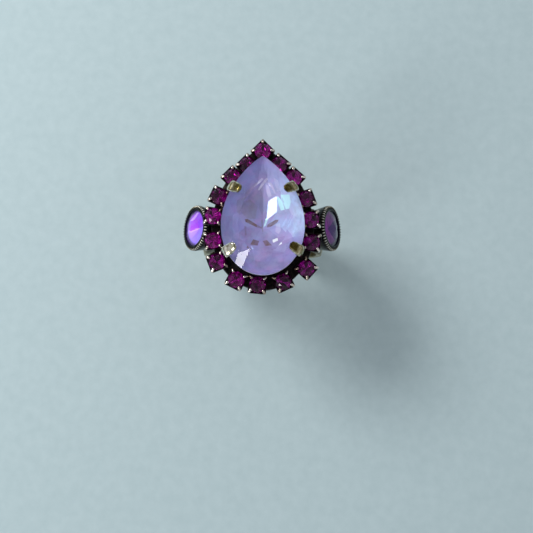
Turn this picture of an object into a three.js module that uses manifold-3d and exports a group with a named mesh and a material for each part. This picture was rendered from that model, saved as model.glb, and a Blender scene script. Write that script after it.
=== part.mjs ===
// A cocktail ring: a pear-cut centre stone in a four-claw basket, a halo of square
// four-prong cups with small round stones, and a round pointed stone in a
// serrated bezel on each shoulder of a tapering band.
//
// Millimetres. The origin is the centre of the finger hole, +Z points up to the head,
// the finger lies along Y, and the tip of the pear points to +Y.

import * as THREE from "three";
import { ConvexGeometry } from "three/addons/geometries/ConvexGeometry.js";
import { mergeVertices } from "three/addons/utils/BufferGeometryUtils.js";
import Module from "manifold-3d";

const wasm = await Module();
wasm.setup();

// Band
const BORE_DIAMETER = 17.3;
const BAND_THICKNESS = 1.3;
const BAND_DOME = 0.3;
const BAND_EDGE = 0.25;
const SHOULDER_WIDTH = 6.8;
const BASE_WIDTH = 4.2;
const TAPER_START_DEG = 70;
const TAPER_END_DEG = 170;

// Seats raised on the band for the head and the side bezels
const HEAD_PAD_LENGTH = 8.4;
const HEAD_PAD_RISE = 0.35;
const SIDE_PAD_RISE = 0.15;
const SIDE_PAD_INSET = 0.7;

// Solder joints and stone seats
const SOLDER_GAP = 0.05;
const STONE_GAP = 0.04;

// Backing plate under the head, which reaches past the middle of the halo cups, and
// further towards the tip, where the cups stand close
const PLATE_THICKNESS = 0.8;
const PLATE_MARGIN = 0.2;
const PLATE_TIP_MARGIN = 0.9;

// Pear stone
const PEAR_LENGTH = 18.4;
const PEAR_WIDTH = 12.65;
const PEAR_CROWN = 1.7;
const PEAR_GIRDLE = 0.45;
const PEAR_PAVILION = 3.2;
const CULET_GAP = 0.8;
const WIDEST_SHARE = 0.41;
const TIP_TAPER_POWER = 1.74;
const TIP_STRETCH_SHARE = 1.3;
const TABLE_SHARE = 0.6;
const STAR_SHARE = 0.82;
const STAR_SWELL_SHARE = 1.12;
const INNER_RING_SHARE = 0.16;
const MIDDLE_RING_SHARE = 0.43;
const OUTER_RING_SHARE = 0.63;
const INNER_RISE_SHARE = 0.094;

// Basket and claws of the pear stone
const BASKET_WALL = 0.5;
const BASE_RING_HEIGHT = 0.8;
const GALLERY_HEIGHT = 0.6;
const BASKET_FOOT_SHARE = 0.5;
const GALLERY_LEVEL_SHARE = 0.45;
const GALLERY_CLEARANCE = 0.1;
const KNEE_LEVEL_SHARE = 0.7;
const CLAW_THICKNESS = 0.62;
const CLAW_WIDTH = 1.8;
const CLAW_FOOT_WIDTH = 1.0;
const CLAW_TIP_WIDTH = 1.4;
const CLAW_REACH = 1.5;
const CLAW_GAP = 0.07;
const CLAW_TURN_SHARES = [0.157, 0.338, 0.665, 0.843];
const CLAW_ROUNDING_SHARES = [1, 0.75, 0.3];
const CLAW_THINNING_SHARES = [1, 0.8, 0.3];

// Halo stones and cups
const CHATON_DIAMETER = 2.5;
const CHATON_CROWN = 0.45;
const CHATON_GIRDLE = 0.1;
const CHATON_PAVILION = 1.0;
const CHATON_TABLE_SHARE = 0.58;
const CHATON_STAR_SHARE = 0.8;
const CHATON_SWELL_SHARE = 1.15;
const CUP_WALL = 0.12;
const CUP_FLOOR = 0.3;
const CUP_CLEARANCE = 0.15;
const CUP_FOOT_SHARE = 0.82;
const CUP_HOLLOW_SHARE = 0.9;
const PRONG_WIDTH = 0.6;
const PRONG_THICKNESS = 0.32;
const PRONG_RISE = 0.36;
const PRONG_REACH = 0.14;
const PRONG_INSET = 0.25;
const PRONG_WIDTH_SHARES = [1, 1, 0.9, 0.45];
const PRONG_THICKNESS_SHARES = [1, 1.1, 0.85, 0.45];
const CUP_SPACING = 0.76;
const HALO_TUCK = 0.04;

// Where the cups were set by hand, from the tip round each side. Along is a share of
// the mean gap between cups, out a share of a cup's side, and the turns are degrees.
const LEFT_ALONG_SHARES = [0, -0.2, -0.92, -0.8, -1.26, -0.9, -1.36, -0.88, -1.16];
const LEFT_OUT_SHARES = [-0.06, -0.17, -0.01, 0.07, 0.04, 0.02, 0.19, 0.06, -0.11];
const LEFT_TURNS = [45, 2, -8, -1, 2, -2, -7, 8, 2];
const RIGHT_ALONG_SHARES = [0, 0.05, 0.7, 0.31, 0.53, 0.48, 0, -0.42];
const RIGHT_OUT_SHARES = [-0.06, -0.12, -0.01, -0.03, -0.08, -0.01, 0.27, -0.02];
const RIGHT_TURNS = [45, 3, 11, -3, -2, 5, -7, -3];

// Side stones and their bezels
const RIVOLI_DIAMETER = 6.4;
const RIVOLI_CROWN = 0.95;
const RIVOLI_GIRDLE = 0.25;
const RIVOLI_PAVILION = 1.35;
const RIVOLI_INNER_SHARE = 0.62;
const RIVOLI_SWELL_SHARE = 1.12;
const BEZEL_WALL = 0.38;
const BEZEL_FLOOR = 0.55;
const BEZEL_LIP = 0.3;
const BEZEL_LIP_REACH = 0.2;
const BEZEL_FOOT_SHARE = 0.9;
const BEZEL_TEETH = 48;
const TOOTH_DEPTH = 0.14;
const BEZEL_DROP = 0.95;
const LEFT_LEAN_DEG = 3.5;
const RIGHT_LEAN_DEG = -3;

// Fineness of the round forms, in counts
const BAND_STEPS = 60;
const PEAR_STEPS = 48;
const PEAR_FACETS = 12;
const CHATON_FACETS = 8;
const RIVOLI_FACETS = 8;
const CLAW_SIDES = 8;
const PRONG_SIDES = 6;
const ROUND_STEPS = 32;

// Sizes that follow from the ones above
const BORE_RADIUS = BORE_DIAMETER / 2;
const BAND_RADIUS = BORE_RADIUS + BAND_THICKNESS;
const BAND_MIDDLE = BORE_RADIUS + BAND_THICKNESS / 2;
const PAD_TOP = BAND_RADIUS + HEAD_PAD_RISE;
const PLATE_BOTTOM = PAD_TOP + SOLDER_GAP;
const PLATE_TOP = PLATE_BOTTOM + PLATE_THICKNESS;
const SETTING_FOOT = PLATE_TOP + SOLDER_GAP;
const CULET_LEVEL = SETTING_FOOT + CULET_GAP;
const GIRDLE_BOTTOM = CULET_LEVEL + PEAR_PAVILION;
const GIRDLE_TOP = GIRDLE_BOTTOM + PEAR_GIRDLE;
const CULET_Y = PEAR_LENGTH * (WIDEST_SHARE - 1 / 2);
const BASKET_RISE = GIRDLE_BOTTOM - SETTING_FOOT;
const GALLERY_MIDDLE = SETTING_FOOT + GALLERY_LEVEL_SHARE * BASKET_RISE;
const CUP_INSIDE = CHATON_DIAMETER + 2 * STONE_GAP;
const CUP_SIDE = CUP_INSIDE + 2 * CUP_WALL;
const CUP_HEIGHT = CUP_FLOOR + CUP_CLEARANCE + CHATON_PAVILION + CHATON_GIRDLE;
const HALO_OFFSET = CUP_SIDE / 2 - HALO_TUCK;
const BEZEL_RADIUS = RIVOLI_DIAMETER / 2 + STONE_GAP + BEZEL_WALL;
const BEZEL_SEAT = BEZEL_FLOOR + STONE_GAP + RIVOLI_PAVILION;
const BEZEL_HEIGHT = BEZEL_SEAT + RIVOLI_GIRDLE + STONE_GAP + BEZEL_LIP;
const SIDE_SEAT_RADIUS = BAND_RADIUS + SIDE_PAD_RISE;
const UP = new THREE.Vector3(0, 0, 1);

// Materials, one for each kind of piece
const antiqueBrass = { color: 0x7a6a3c, roughness: 0.35, metalness: 1 };
const darkBrass = { color: 0x3a332a, roughness: 0.45, metalness: 1 };
const paleGold = { color: 0xb09c86, roughness: 0.3, metalness: 1 };
const lavenderGlass = { color: 0xb8a4e0, roughness: 0.08, metalness: 0.1 };
const fuchsiaGlass = { color: 0x7a0a5e, roughness: 0.08, metalness: 0.1 };
const violetGlass = { color: 0x8a3fc8, roughness: 0.08, metalness: 0.1 };

// A closed mesh as a solid that can be joined and cut
function toSolid(geometry) {
  const bare = geometry.clone();
  bare.deleteAttribute("normal");
  bare.deleteAttribute("uv");
  const merged = mergeVertices(bare);
  const vertProperties = new Float32Array(merged.attributes.position.array);
  const triVerts = new Uint32Array(merged.index.array);
  return new wasm.Manifold(new wasm.Mesh({ numProp: 3, vertProperties, triVerts }));
}

// A solid back as a mesh, with flat faces
function toGeometry(solid) {
  const mesh = solid.getMesh();
  const geometry = new THREE.BufferGeometry();
  geometry.setAttribute("position", new THREE.BufferAttribute(mesh.vertProperties, 3));
  geometry.setIndex(new THREE.BufferAttribute(mesh.triVerts, 1));
  return geometry.toNonIndexed();
}

// A skin over rings of points, closed on itself or capped at both ends
function loft(rings, closed) {
  const count = rings[0].length;
  const places = rings.flat().flatMap((point) => [point.x, point.y, point.z]);
  const faces = [];
  const spans = closed ? rings.length : rings.length - 1;
  for (let i = 0; i < spans; i++) {
    const low = i * count;
    const high = ((i + 1) % rings.length) * count;
    for (let j = 0; j < count; j++) {
      const next = (j + 1) % count;
      faces.push(low + j, low + next, high + next);
      faces.push(low + j, high + next, high + j);
    }
  }
  if (!closed) {
    const last = (rings.length - 1) * count;
    for (let j = 1; j < count - 1; j++) {
      faces.push(0, j + 1, j);
      faces.push(last, last + j, last + j + 1);
    }
  }
  const geometry = new THREE.BufferGeometry();
  geometry.setAttribute("position", new THREE.Float32BufferAttribute(places, 3));
  geometry.setIndex(faces);
  return geometry;
}

// A point of the pear outline. The turn starts at the tip and runs counter-clockwise
// seen from above, the scale shrinks the outline about the culet, and the offset
// stands out from it.
function pearPoint(turn, scale, offset) {
  const half = (scale * PEAR_WIDTH) / 2 + offset;
  const below = scale * PEAR_LENGTH * WIDEST_SHARE + offset;
  const above = scale * PEAR_LENGTH * (1 - WIDEST_SHARE) + TIP_STRETCH_SHARE * offset;
  const along = Math.cos(turn);
  const across = Math.sin(turn);
  const power = along > 0 ? TIP_TAPER_POWER : 1;
  const x = -Math.sign(across) * half * Math.abs(across) ** power;
  const y = CULET_Y + along * (along > 0 ? above : below);
  return new THREE.Vector2(x, y);
}

// The whole pear outline as points
function pearOutline(scale, offset, steps) {
  const points = [];
  for (let i = 0; i < steps; i++) {
    points.push(pearPoint((2 * Math.PI * i) / steps, scale, offset));
  }
  return points;
}

// A wall or plate of some outline between two heights
function outlineBlock(outline, bottom, top) {
  const shape = new THREE.Shape(outline);
  const geometry = new THREE.ExtrudeGeometry(shape, { depth: top - bottom, bevelEnabled: false });
  geometry.translate(0, 0, bottom);
  return toSolid(geometry);
}

// A pear-shaped wall or plate between two heights
function pearBlock(scale, offset, bottom, top) {
  return outlineBlock(pearOutline(scale, offset, PEAR_STEPS), bottom, top);
}

// The width of the band at an angle from its top
function bandWidth(angle) {
  const turned = THREE.MathUtils.radToDeg(Math.abs(angle));
  const share = THREE.MathUtils.smoothstep(turned, TAPER_START_DEG, TAPER_END_DEG);
  return THREE.MathUtils.lerp(SHOULDER_WIDTH, BASE_WIDTH, share);
}

// The domed section of the band at an angle from its top, as points of one ring
function bandSection(angle) {
  const half = bandWidth(angle) / 2;
  const flat = half - BAND_EDGE;
  const crownShares = [1, 0.5, 0, -0.5, -1];
  const profile = [[BORE_RADIUS, -flat], [BORE_RADIUS, flat], [BORE_RADIUS + BAND_EDGE, half]];
  profile.push([BAND_RADIUS - BAND_DOME - BAND_EDGE, half]);
  for (const share of crownShares) {
    profile.push([BAND_RADIUS - BAND_DOME * share ** 2, flat * share]);
  }
  profile.push([BAND_RADIUS - BAND_DOME - BAND_EDGE, -half]);
  profile.push([BORE_RADIUS + BAND_EDGE, -half]);
  return profile.map(([radius, y]) => {
    return new THREE.Vector3(radius * Math.sin(angle), y, radius * Math.cos(angle));
  });
}

// The direction that a side bezel faces and the place of its seat. The bezel stands as
// high on the shoulder as its clearance below the backing plate allows.
function sideSeat(side, leanDegrees) {
  const rim = SIDE_SEAT_RADIUS + SOLDER_GAP + BEZEL_HEIGHT;
  const reach = Math.hypot(rim, BEZEL_RADIUS);
  const highest = PLATE_BOTTOM - BEZEL_DROP;
  const angle = Math.atan2(BEZEL_RADIUS, rim) + Math.acos(highest / reach);
  const place = new THREE.Vector3(side * Math.sin(angle), 0, Math.cos(angle));
  const faced = angle - THREE.MathUtils.degToRad(leanDegrees);
  const facing = new THREE.Vector3(side * Math.sin(faced), 0, Math.cos(faced));
  return { place: place.multiplyScalar(SIDE_SEAT_RADIUS), facing };
}

// A round post from the middle of the band's wall up to a side bezel's seat
function sidePad({ place, facing }) {
  const radius = BEZEL_RADIUS * BEZEL_FOOT_SHARE - SIDE_PAD_INSET;
  const height = 2 * BAND_THICKNESS;
  const post = new THREE.CylinderGeometry(radius, radius, height, ROUND_STEPS);
  post.rotateX(Math.PI / 2);
  post.translate(0, 0, -height / 2);
  post.applyQuaternion(new THREE.Quaternion().setFromUnitVectors(UP, facing));
  post.translate(place.x, place.y, place.z);
  return toSolid(post);
}

// The band with its flat seats for the head and the two bezels
function makeBand(seats) {
  const rings = [];
  for (let i = 0; i < BAND_STEPS; i++) {
    rings.push(bandSection((2 * Math.PI * i) / BAND_STEPS - Math.PI));
  }
  const width = SHOULDER_WIDTH - 2 * BAND_EDGE;
  const pad = new THREE.BoxGeometry(HEAD_PAD_LENGTH, width, PAD_TOP);
  pad.translate(0, 0, PAD_TOP / 2);
  const core = new THREE.CylinderGeometry(BAND_MIDDLE, BAND_MIDDLE, 2 * SHOULDER_WIDTH, BAND_STEPS);
  let pads = toSolid(pad);
  for (const seat of seats) {
    pads = pads.add(sidePad(seat));
  }
  const whole = toSolid(loft(rings, true)).add(pads.subtract(toSolid(core)));
  return toGeometry(whole);
}

// The flat pear plate that joins the halo cups, the basket and the band
function makePlate() {
  const outline = [];
  for (let i = 0; i < PEAR_STEPS; i++) {
    const turn = (2 * Math.PI * i) / PEAR_STEPS;
    const nearTip = Math.max(Math.cos(turn), 0);
    const margin = THREE.MathUtils.lerp(PLATE_MARGIN, PLATE_TIP_MARGIN, nearTip);
    outline.push(pearPoint(turn, 1, HALO_OFFSET + margin));
  }
  return toGeometry(outlineBlock(outline, PLATE_BOTTOM, PLATE_TOP));
}

// A pear outline lifted to a height, for the corners of the stone
function pearCorners(count, phaseShare, scale, z) {
  const corners = [];
  for (let i = 0; i < count; i++) {
    const turn = (2 * Math.PI * (i + phaseShare)) / count;
    const point = pearPoint(turn, scale, 0);
    corners.push(new THREE.Vector3(point.x, point.y, z));
  }
  return corners;
}

// The height at a point of the plane through three corners
function planeLevel(corners, { x, y }) {
  const plane = new THREE.Plane().setFromCoplanarPoints(...corners);
  return -(plane.normal.x * x + plane.normal.y * y + plane.constant) / plane.normal.z;
}

// The pavilion's corners: the culet and three rings, whose levels keep the kite
// facets between them flat
function pavilionCorners() {
  const culet = new THREE.Vector3(0, CULET_Y, CULET_LEVEL);
  const innerLevel = CULET_LEVEL + INNER_RISE_SHARE * PEAR_PAVILION;
  const inner = pearCorners(PEAR_FACETS, 0.5, INNER_RING_SHARE, innerLevel);
  const middle = pearCorners(PEAR_FACETS, 0, MIDDLE_RING_SHARE, 0);
  const outer = pearCorners(PEAR_FACETS, 0.5, OUTER_RING_SHARE, 0);
  middle.forEach((corner, i) => {
    corner.z = planeLevel([culet, inner.at(i - 1), inner[i]], corner);
  });
  outer.forEach((corner, i) => {
    const next = middle[(i + 1) % PEAR_FACETS];
    corner.z = planeLevel([inner[i], middle[i], next], corner);
  });
  return [culet, ...inner, ...middle, ...outer];
}

// The pear stone: table, star and kite facets, a smooth girdle and a pavilion whose
// facets meet at the culet
function makePear() {
  const starLevel = STAR_SWELL_SHARE * PEAR_CROWN * ((1 - STAR_SHARE) / (1 - TABLE_SHARE));
  const corners = [
    ...pearCorners(PEAR_FACETS, 0, TABLE_SHARE, GIRDLE_TOP + PEAR_CROWN),
    ...pearCorners(PEAR_FACETS, 0.5, STAR_SHARE, GIRDLE_TOP + starLevel),
    ...pearCorners(PEAR_STEPS, 0, 1, GIRDLE_TOP),
    ...pearCorners(PEAR_STEPS, 0, 1, GIRDLE_BOTTOM),
    ...pavilionCorners(),
  ];
  return new ConvexGeometry(corners);
}

// Oval rings along a spine, as wide across it as the widths say
function stripRings(spine, across, widths, thickness, thickShares, sides) {
  return spine.map((point, i) => {
    const before = spine[Math.max(i - 1, 0)];
    const after = spine[Math.min(i + 1, spine.length - 1)];
    const along = new THREE.Vector3().subVectors(after, before).normalize();
    const through = new THREE.Vector3().crossVectors(along, across).normalize();
    const halfThick = (thickness * thickShares[i]) / 2;
    const ring = [];
    for (let j = 0; j < sides; j++) {
      const turn = (2 * Math.PI * j) / sides;
      const place = point.clone().addScaledVector(across, (widths[i] / 2) * Math.cos(turn));
      ring.push(place.addScaledVector(through, halfThick * Math.sin(turn)));
    }
    return ring;
  });
}

// A pear ring of the basket, its inside at a share of the outline and an offset from it
function basketRing(share, offset, bottom, height) {
  const outer = pearBlock(share, offset + BASKET_WALL, bottom, bottom + height);
  const inner = pearBlock(share, offset, bottom - height, bottom + 2 * height);
  return outer.subtract(inner);
}

// The share of the outline that the stone fills at the top of the gallery ring, where
// its section lies between the pavilion's outer corners and the girdle
function galleryShare() {
  const levels = pavilionCorners().slice(-PEAR_FACETS).map((corner) => corner.z);
  const outerLevel = Math.min(...levels);
  const up = (GALLERY_MIDDLE + GALLERY_HEIGHT / 2 - outerLevel) / (GIRDLE_BOTTOM - outerLevel);
  return THREE.MathUtils.lerp(OUTER_RING_SHARE, 1, THREE.MathUtils.clamp(up, 0, 1));
}

// The middle line of a claw: from the basket's foot past the gallery ring, clear of the
// stone's back to its edge, folded over the edge and down onto the crown
function clawSpine(turn, edge, outward) {
  const half = CLAW_THICKNESS / 2;
  const clear = half + CLAW_GAP;
  const foot = pearPoint(turn, BASKET_FOOT_SHARE, -BASKET_WALL / 2);
  const gallery = pearPoint(turn, galleryShare(), GALLERY_CLEARANCE + BASKET_WALL / 2);
  const knee = gallery.clone().lerp(edge, KNEE_LEVEL_SHARE);
  const kneeLevel = THREE.MathUtils.lerp(GALLERY_MIDDLE, GIRDLE_BOTTOM, KNEE_LEVEL_SHARE);
  const backSlope = gallery.distanceTo(edge) / (GIRDLE_BOTTOM - GALLERY_MIDDLE);
  const spread = clear * Math.hypot(1, backSlope);
  const crownSlope = (STAR_SWELL_SHARE * PEAR_CROWN) / ((1 - TABLE_SHARE) * (PEAR_WIDTH / 2));
  const lift = clear * Math.hypot(1, crownSlope);
  const beside = (out, z) => {
    return new THREE.Vector3(edge.x, edge.y, z).addScaledVector(outward, out);
  };
  const overCrown = (inward) => beside(-inward, GIRDLE_TOP + crownSlope * inward + lift);
  return [
    new THREE.Vector3(foot.x, foot.y, SETTING_FOOT),
    new THREE.Vector3(gallery.x, gallery.y, GALLERY_MIDDLE),
    new THREE.Vector3(knee.x, knee.y, kneeLevel).addScaledVector(outward, spread),
    beside(clear, GIRDLE_BOTTOM - half / 2),
    beside(clear, GIRDLE_TOP),
    beside(clear / 2, GIRDLE_TOP + clear),
    overCrown(half),
    overCrown(CLAW_REACH / 2),
    overCrown(CLAW_REACH - half / 2),
    overCrown(CLAW_REACH),
  ];
}

// One claw: a strip along its middle line that is narrow at the foot, wide over the
// girdle and rounded off at the tip
function makeClaw(turn) {
  const edge = pearPoint(turn, 1, 0);
  const ahead = pearPoint(turn + Math.PI / 180, 1, 0);
  const across = new THREE.Vector3(ahead.x - edge.x, ahead.y - edge.y, 0).normalize();
  const outward = new THREE.Vector3(across.y, -across.x, 0);
  const spine = clawSpine(turn, edge, outward);
  const middle = (CLAW_FOOT_WIDTH + CLAW_WIDTH) / 2;
  const folded = Array(4).fill(CLAW_WIDTH);
  const rounded = CLAW_ROUNDING_SHARES.map((share) => CLAW_TIP_WIDTH * share);
  const widths = [CLAW_FOOT_WIDTH, CLAW_FOOT_WIDTH, middle, ...folded, ...rounded];
  const straight = spine.length - CLAW_THINNING_SHARES.length;
  const thickShares = [...Array(straight).fill(1), ...CLAW_THINNING_SHARES];
  const rings = stripRings(spine, across, widths, CLAW_THICKNESS, thickShares, CLAW_SIDES);
  return toSolid(loft(rings, false));
}

// The basket: a foot ring, a gallery ring round the stone's back and four claws
function makeBasket() {
  const galleryBottom = GALLERY_MIDDLE - GALLERY_HEIGHT / 2;
  const foot = basketRing(BASKET_FOOT_SHARE, -BASKET_WALL, SETTING_FOOT, BASE_RING_HEIGHT);
  const gallery = basketRing(galleryShare(), GALLERY_CLEARANCE, galleryBottom, GALLERY_HEIGHT);
  const floor = pearBlock(1, CUP_SIDE, SETTING_FOOT - BASE_RING_HEIGHT, SETTING_FOOT);
  let basket = foot.add(gallery);
  for (const share of CLAW_TURN_SHARES) {
    basket = basket.add(makeClaw(2 * Math.PI * share));
  }
  return toGeometry(basket.subtract(floor));
}

// Corners on a circle about the axis of a round stone
function roundCorners(count, phaseShare, radius, z) {
  const corners = [];
  for (let i = 0; i < count; i++) {
    const turn = (2 * Math.PI * (i + phaseShare)) / count;
    corners.push(new THREE.Vector3(radius * Math.cos(turn), radius * Math.sin(turn), z));
  }
  return corners;
}

// A small round stone with a table and a pointed back, its girdle's top at z = 0
function makeChaton() {
  const radius = CHATON_DIAMETER / 2;
  const starShare = (1 - CHATON_STAR_SHARE) / (1 - CHATON_TABLE_SHARE);
  const starLevel = CHATON_SWELL_SHARE * CHATON_CROWN * starShare;
  return new ConvexGeometry([
    ...roundCorners(CHATON_FACETS, 0, radius * CHATON_TABLE_SHARE, CHATON_CROWN),
    ...roundCorners(CHATON_FACETS, 0.5, radius * CHATON_STAR_SHARE, starLevel),
    ...roundCorners(2 * CHATON_FACETS, 0, radius, 0),
    ...roundCorners(2 * CHATON_FACETS, 0, radius, -CHATON_GIRDLE),
    new THREE.Vector3(0, 0, -CHATON_GIRDLE - CHATON_PAVILION),
  ]);
}

// A square frustum of the cup, from its foot to its rim
function cupBlock(side, footShare, bottom, top) {
  const corner = Math.SQRT1_2 * side;
  const block = new THREE.CylinderGeometry(corner, corner * footShare, top - bottom, 4);
  block.rotateY(Math.PI / 4);
  block.rotateX(Math.PI / 2);
  block.translate(0, 0, (bottom + top) / 2);
  return toSolid(block);
}

// One prong at a corner of the cup, bent in over the edge of the stone
function makeProng(turn) {
  const corner = Math.SQRT1_2 * CUP_SIDE - PRONG_INSET;
  const half = PRONG_THICKNESS / 2;
  const stone = CHATON_DIAMETER / 2;
  const outward = new THREE.Vector3(Math.cos(turn), Math.sin(turn), 0);
  const across = new THREE.Vector3(-Math.sin(turn), Math.cos(turn), 0);
  const place = (distance, z) => outward.clone().multiplyScalar(distance).setZ(z);
  const spine = [
    place(corner, CUP_HEIGHT - half),
    place(corner - half / 2, CUP_HEIGHT + PRONG_RISE - half),
    place(stone - PRONG_REACH / 2, CUP_HEIGHT + PRONG_RISE),
    place(stone - PRONG_REACH, CUP_HEIGHT + PRONG_RISE),
  ];
  const widths = PRONG_WIDTH_SHARES.map((share) => PRONG_WIDTH * share);
  const thickShares = PRONG_THICKNESS_SHARES;
  const rings = stripRings(spine, across, widths, PRONG_THICKNESS, thickShares, PRONG_SIDES);
  return toSolid(loft(rings, false));
}

// A square cup with a prong at each corner, its foot at z = 0
function makeCup() {
  const outer = cupBlock(CUP_SIDE, CUP_FOOT_SHARE, 0, CUP_HEIGHT);
  const sides = 2 * CHATON_FACETS;
  const inside = CUP_INSIDE / 2 / Math.cos(Math.PI / sides);
  const foot = inside * CUP_HOLLOW_SHARE;
  const seat = new THREE.CylinderGeometry(inside, foot, CUP_HEIGHT, sides);
  seat.rotateX(Math.PI / 2);
  seat.translate(0, 0, CUP_FLOOR + CUP_HEIGHT / 2);
  let cup = outer.subtract(toSolid(seat));
  for (let i = 0; i < 4; i++) {
    cup = cup.add(makeProng(((2 * i + 1) * Math.PI) / 4));
  }
  return toGeometry(cup);
}

// Where each cup of the halo stands and how it is turned, from the tip round to the left
function haloPlaces() {
  const points = pearOutline(1, HALO_OFFSET, 2 * PEAR_STEPS);
  const line = new THREE.CatmullRomCurve3(
    points.map((point) => new THREE.Vector3(point.x, point.y, 0)),
    true,
  );
  const length = line.getLength();
  const count = Math.round(length / (CUP_SIDE + CUP_SPACING));
  const gapShare = 1 / count - CUP_SIDE / length;
  const places = [];
  for (let i = 0; i < count; i++) {
    const left = 2 * i <= count;
    const row = left ? i : count - i;
    const pick = (leftTable, rightTable) => {
      const table = left ? leftTable : rightTable;
      return table[Math.min(row, table.length - 1)];
    };
    const shift = pick(LEFT_ALONG_SHARES, RIGHT_ALONG_SHARES);
    const at = (i / count + shift * gapShare + 1) % 1;
    const along = line.getTangentAt(at);
    const outward = new THREE.Vector3(along.y, -along.x, 0);
    const out = pick(LEFT_OUT_SHARES, RIGHT_OUT_SHARES) * CUP_SIDE;
    const place = line.getPointAt(at).addScaledVector(outward, out);
    const turned = THREE.MathUtils.degToRad(pick(LEFT_TURNS, RIGHT_TURNS));
    places.push({ place, turn: Math.atan2(outward.y, outward.x) + turned });
  }
  return places;
}

// The serrated bezel: a round cup whose lip is turned in over the stone and cut into
// small teeth, its foot at z = 0
function makeBezel() {
  const stone = RIVOLI_DIAMETER / 2;
  const inside = stone + STONE_GAP;
  const foot = BEZEL_RADIUS * BEZEL_FOOT_SHARE;
  const lipBottom = BEZEL_HEIGHT - BEZEL_LIP;
  const crownSlope = (RIVOLI_SWELL_SHARE * RIVOLI_CROWN) / stone;
  const lipRise = crownSlope * BEZEL_LIP_REACH + STONE_GAP / 2;
  const profile = [
    [0, 0],
    [foot, 0],
    [BEZEL_RADIUS, lipBottom],
    [BEZEL_RADIUS - BEZEL_WALL / 4, BEZEL_HEIGHT],
    [stone - BEZEL_LIP_REACH, BEZEL_HEIGHT - BEZEL_LIP / 4],
    [stone - BEZEL_LIP_REACH, lipBottom + lipRise],
    [inside, lipBottom],
    [inside, BEZEL_SEAT],
    [foot - BEZEL_WALL, BEZEL_FLOOR],
    [0, BEZEL_FLOOR],
  ];
  const toothRows = [2, 3];
  const lathe = new THREE.LatheGeometry(
    profile.map(([radius, z]) => new THREE.Vector2(radius, z)),
    2 * BEZEL_TEETH,
  );
  const position = lathe.attributes.position;
  for (let i = 1; i < 2 * BEZEL_TEETH; i += 2) {
    for (const row of toothRows) {
      const at = i * profile.length + row;
      const share = 1 - TOOTH_DEPTH / Math.hypot(position.getX(at), position.getZ(at));
      position.setX(at, position.getX(at) * share);
      position.setZ(at, position.getZ(at) * share);
    }
  }
  lathe.rotateX(Math.PI / 2);
  return lathe;
}

// A round stone whose facets meet at a point in front and behind, its girdle's foot at z = 0
function makeRivoli() {
  const radius = RIVOLI_DIAMETER / 2;
  const innerLevel = RIVOLI_SWELL_SHARE * RIVOLI_CROWN * (1 - RIVOLI_INNER_SHARE);
  return new ConvexGeometry([
    new THREE.Vector3(0, 0, RIVOLI_GIRDLE + RIVOLI_CROWN),
    ...roundCorners(RIVOLI_FACETS, 0.5, radius * RIVOLI_INNER_SHARE, RIVOLI_GIRDLE + innerLevel),
    ...roundCorners(4 * RIVOLI_FACETS, 0, radius, RIVOLI_GIRDLE),
    ...roundCorners(4 * RIVOLI_FACETS, 0, radius, 0),
    new THREE.Vector3(0, 0, -RIVOLI_PAVILION),
  ]);
}

const ring = new THREE.Group();

// Adds one named piece to a group, at a height above the group's origin
function addPiece(group, name, geometry, look, height = 0) {
  const mesh = new THREE.Mesh(geometry, new THREE.MeshStandardMaterial(look));
  mesh.name = name;
  mesh.position.z = height;
  group.add(mesh);
}

// The halo: a cup and its stone at each place
function addHalo() {
  const cup = makeCup();
  const chaton = makeChaton();
  haloPlaces().forEach(({ place, turn }, i) => {
    const group = new THREE.Group();
    group.position.set(place.x, place.y, SETTING_FOOT);
    group.rotation.z = turn;
    const number = String(i + 1).padStart(2, "0");
    addPiece(group, `halo_cup_${number}`, cup, paleGold);
    addPiece(group, `halo_stone_${number}`, chaton, fuchsiaGlass, CUP_HEIGHT);
    ring.add(group);
  });
}

// A side bezel and its stone, standing on its seat
function addSide(name, { place, facing }) {
  const group = new THREE.Group();
  group.position.copy(place).addScaledVector(facing, SOLDER_GAP);
  group.quaternion.setFromUnitVectors(UP, facing);
  addPiece(group, `side_bezel_${name}`, makeBezel(), darkBrass);
  addPiece(group, `side_stone_${name}`, makeRivoli(), violetGlass, BEZEL_SEAT + STONE_GAP / 2);
  ring.add(group);
}

const leftSeat = sideSeat(-1, LEFT_LEAN_DEG);
const rightSeat = sideSeat(1, RIGHT_LEAN_DEG);
addPiece(ring, "band", makeBand([leftSeat, rightSeat]), antiqueBrass);
addPiece(ring, "backing_plate", makePlate(), darkBrass);
addPiece(ring, "center_setting", makeBasket(), antiqueBrass);
addPiece(ring, "center_stone", makePear(), lavenderGlass);
addHalo();
addSide("left", leftSeat);
addSide("right", rightSeat);

export default ring;
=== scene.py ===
import math
import random

import bmesh
import bpy
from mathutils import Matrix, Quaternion, Vector


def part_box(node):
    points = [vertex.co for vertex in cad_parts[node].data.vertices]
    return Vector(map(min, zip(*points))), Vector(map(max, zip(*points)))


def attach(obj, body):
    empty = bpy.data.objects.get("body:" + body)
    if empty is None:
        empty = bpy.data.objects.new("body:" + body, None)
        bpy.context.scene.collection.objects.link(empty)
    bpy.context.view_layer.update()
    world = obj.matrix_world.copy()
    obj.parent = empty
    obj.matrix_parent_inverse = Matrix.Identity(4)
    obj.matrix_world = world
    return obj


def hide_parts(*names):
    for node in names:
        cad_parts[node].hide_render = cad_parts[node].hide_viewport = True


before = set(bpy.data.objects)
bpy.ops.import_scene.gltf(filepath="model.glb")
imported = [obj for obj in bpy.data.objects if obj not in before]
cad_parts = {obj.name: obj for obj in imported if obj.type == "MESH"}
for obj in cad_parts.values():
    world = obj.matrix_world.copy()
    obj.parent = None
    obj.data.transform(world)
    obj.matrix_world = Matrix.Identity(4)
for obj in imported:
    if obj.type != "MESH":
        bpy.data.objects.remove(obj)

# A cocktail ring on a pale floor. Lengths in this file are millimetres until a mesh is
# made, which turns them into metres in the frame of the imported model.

MM = 0.001
BODY = "root"
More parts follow.
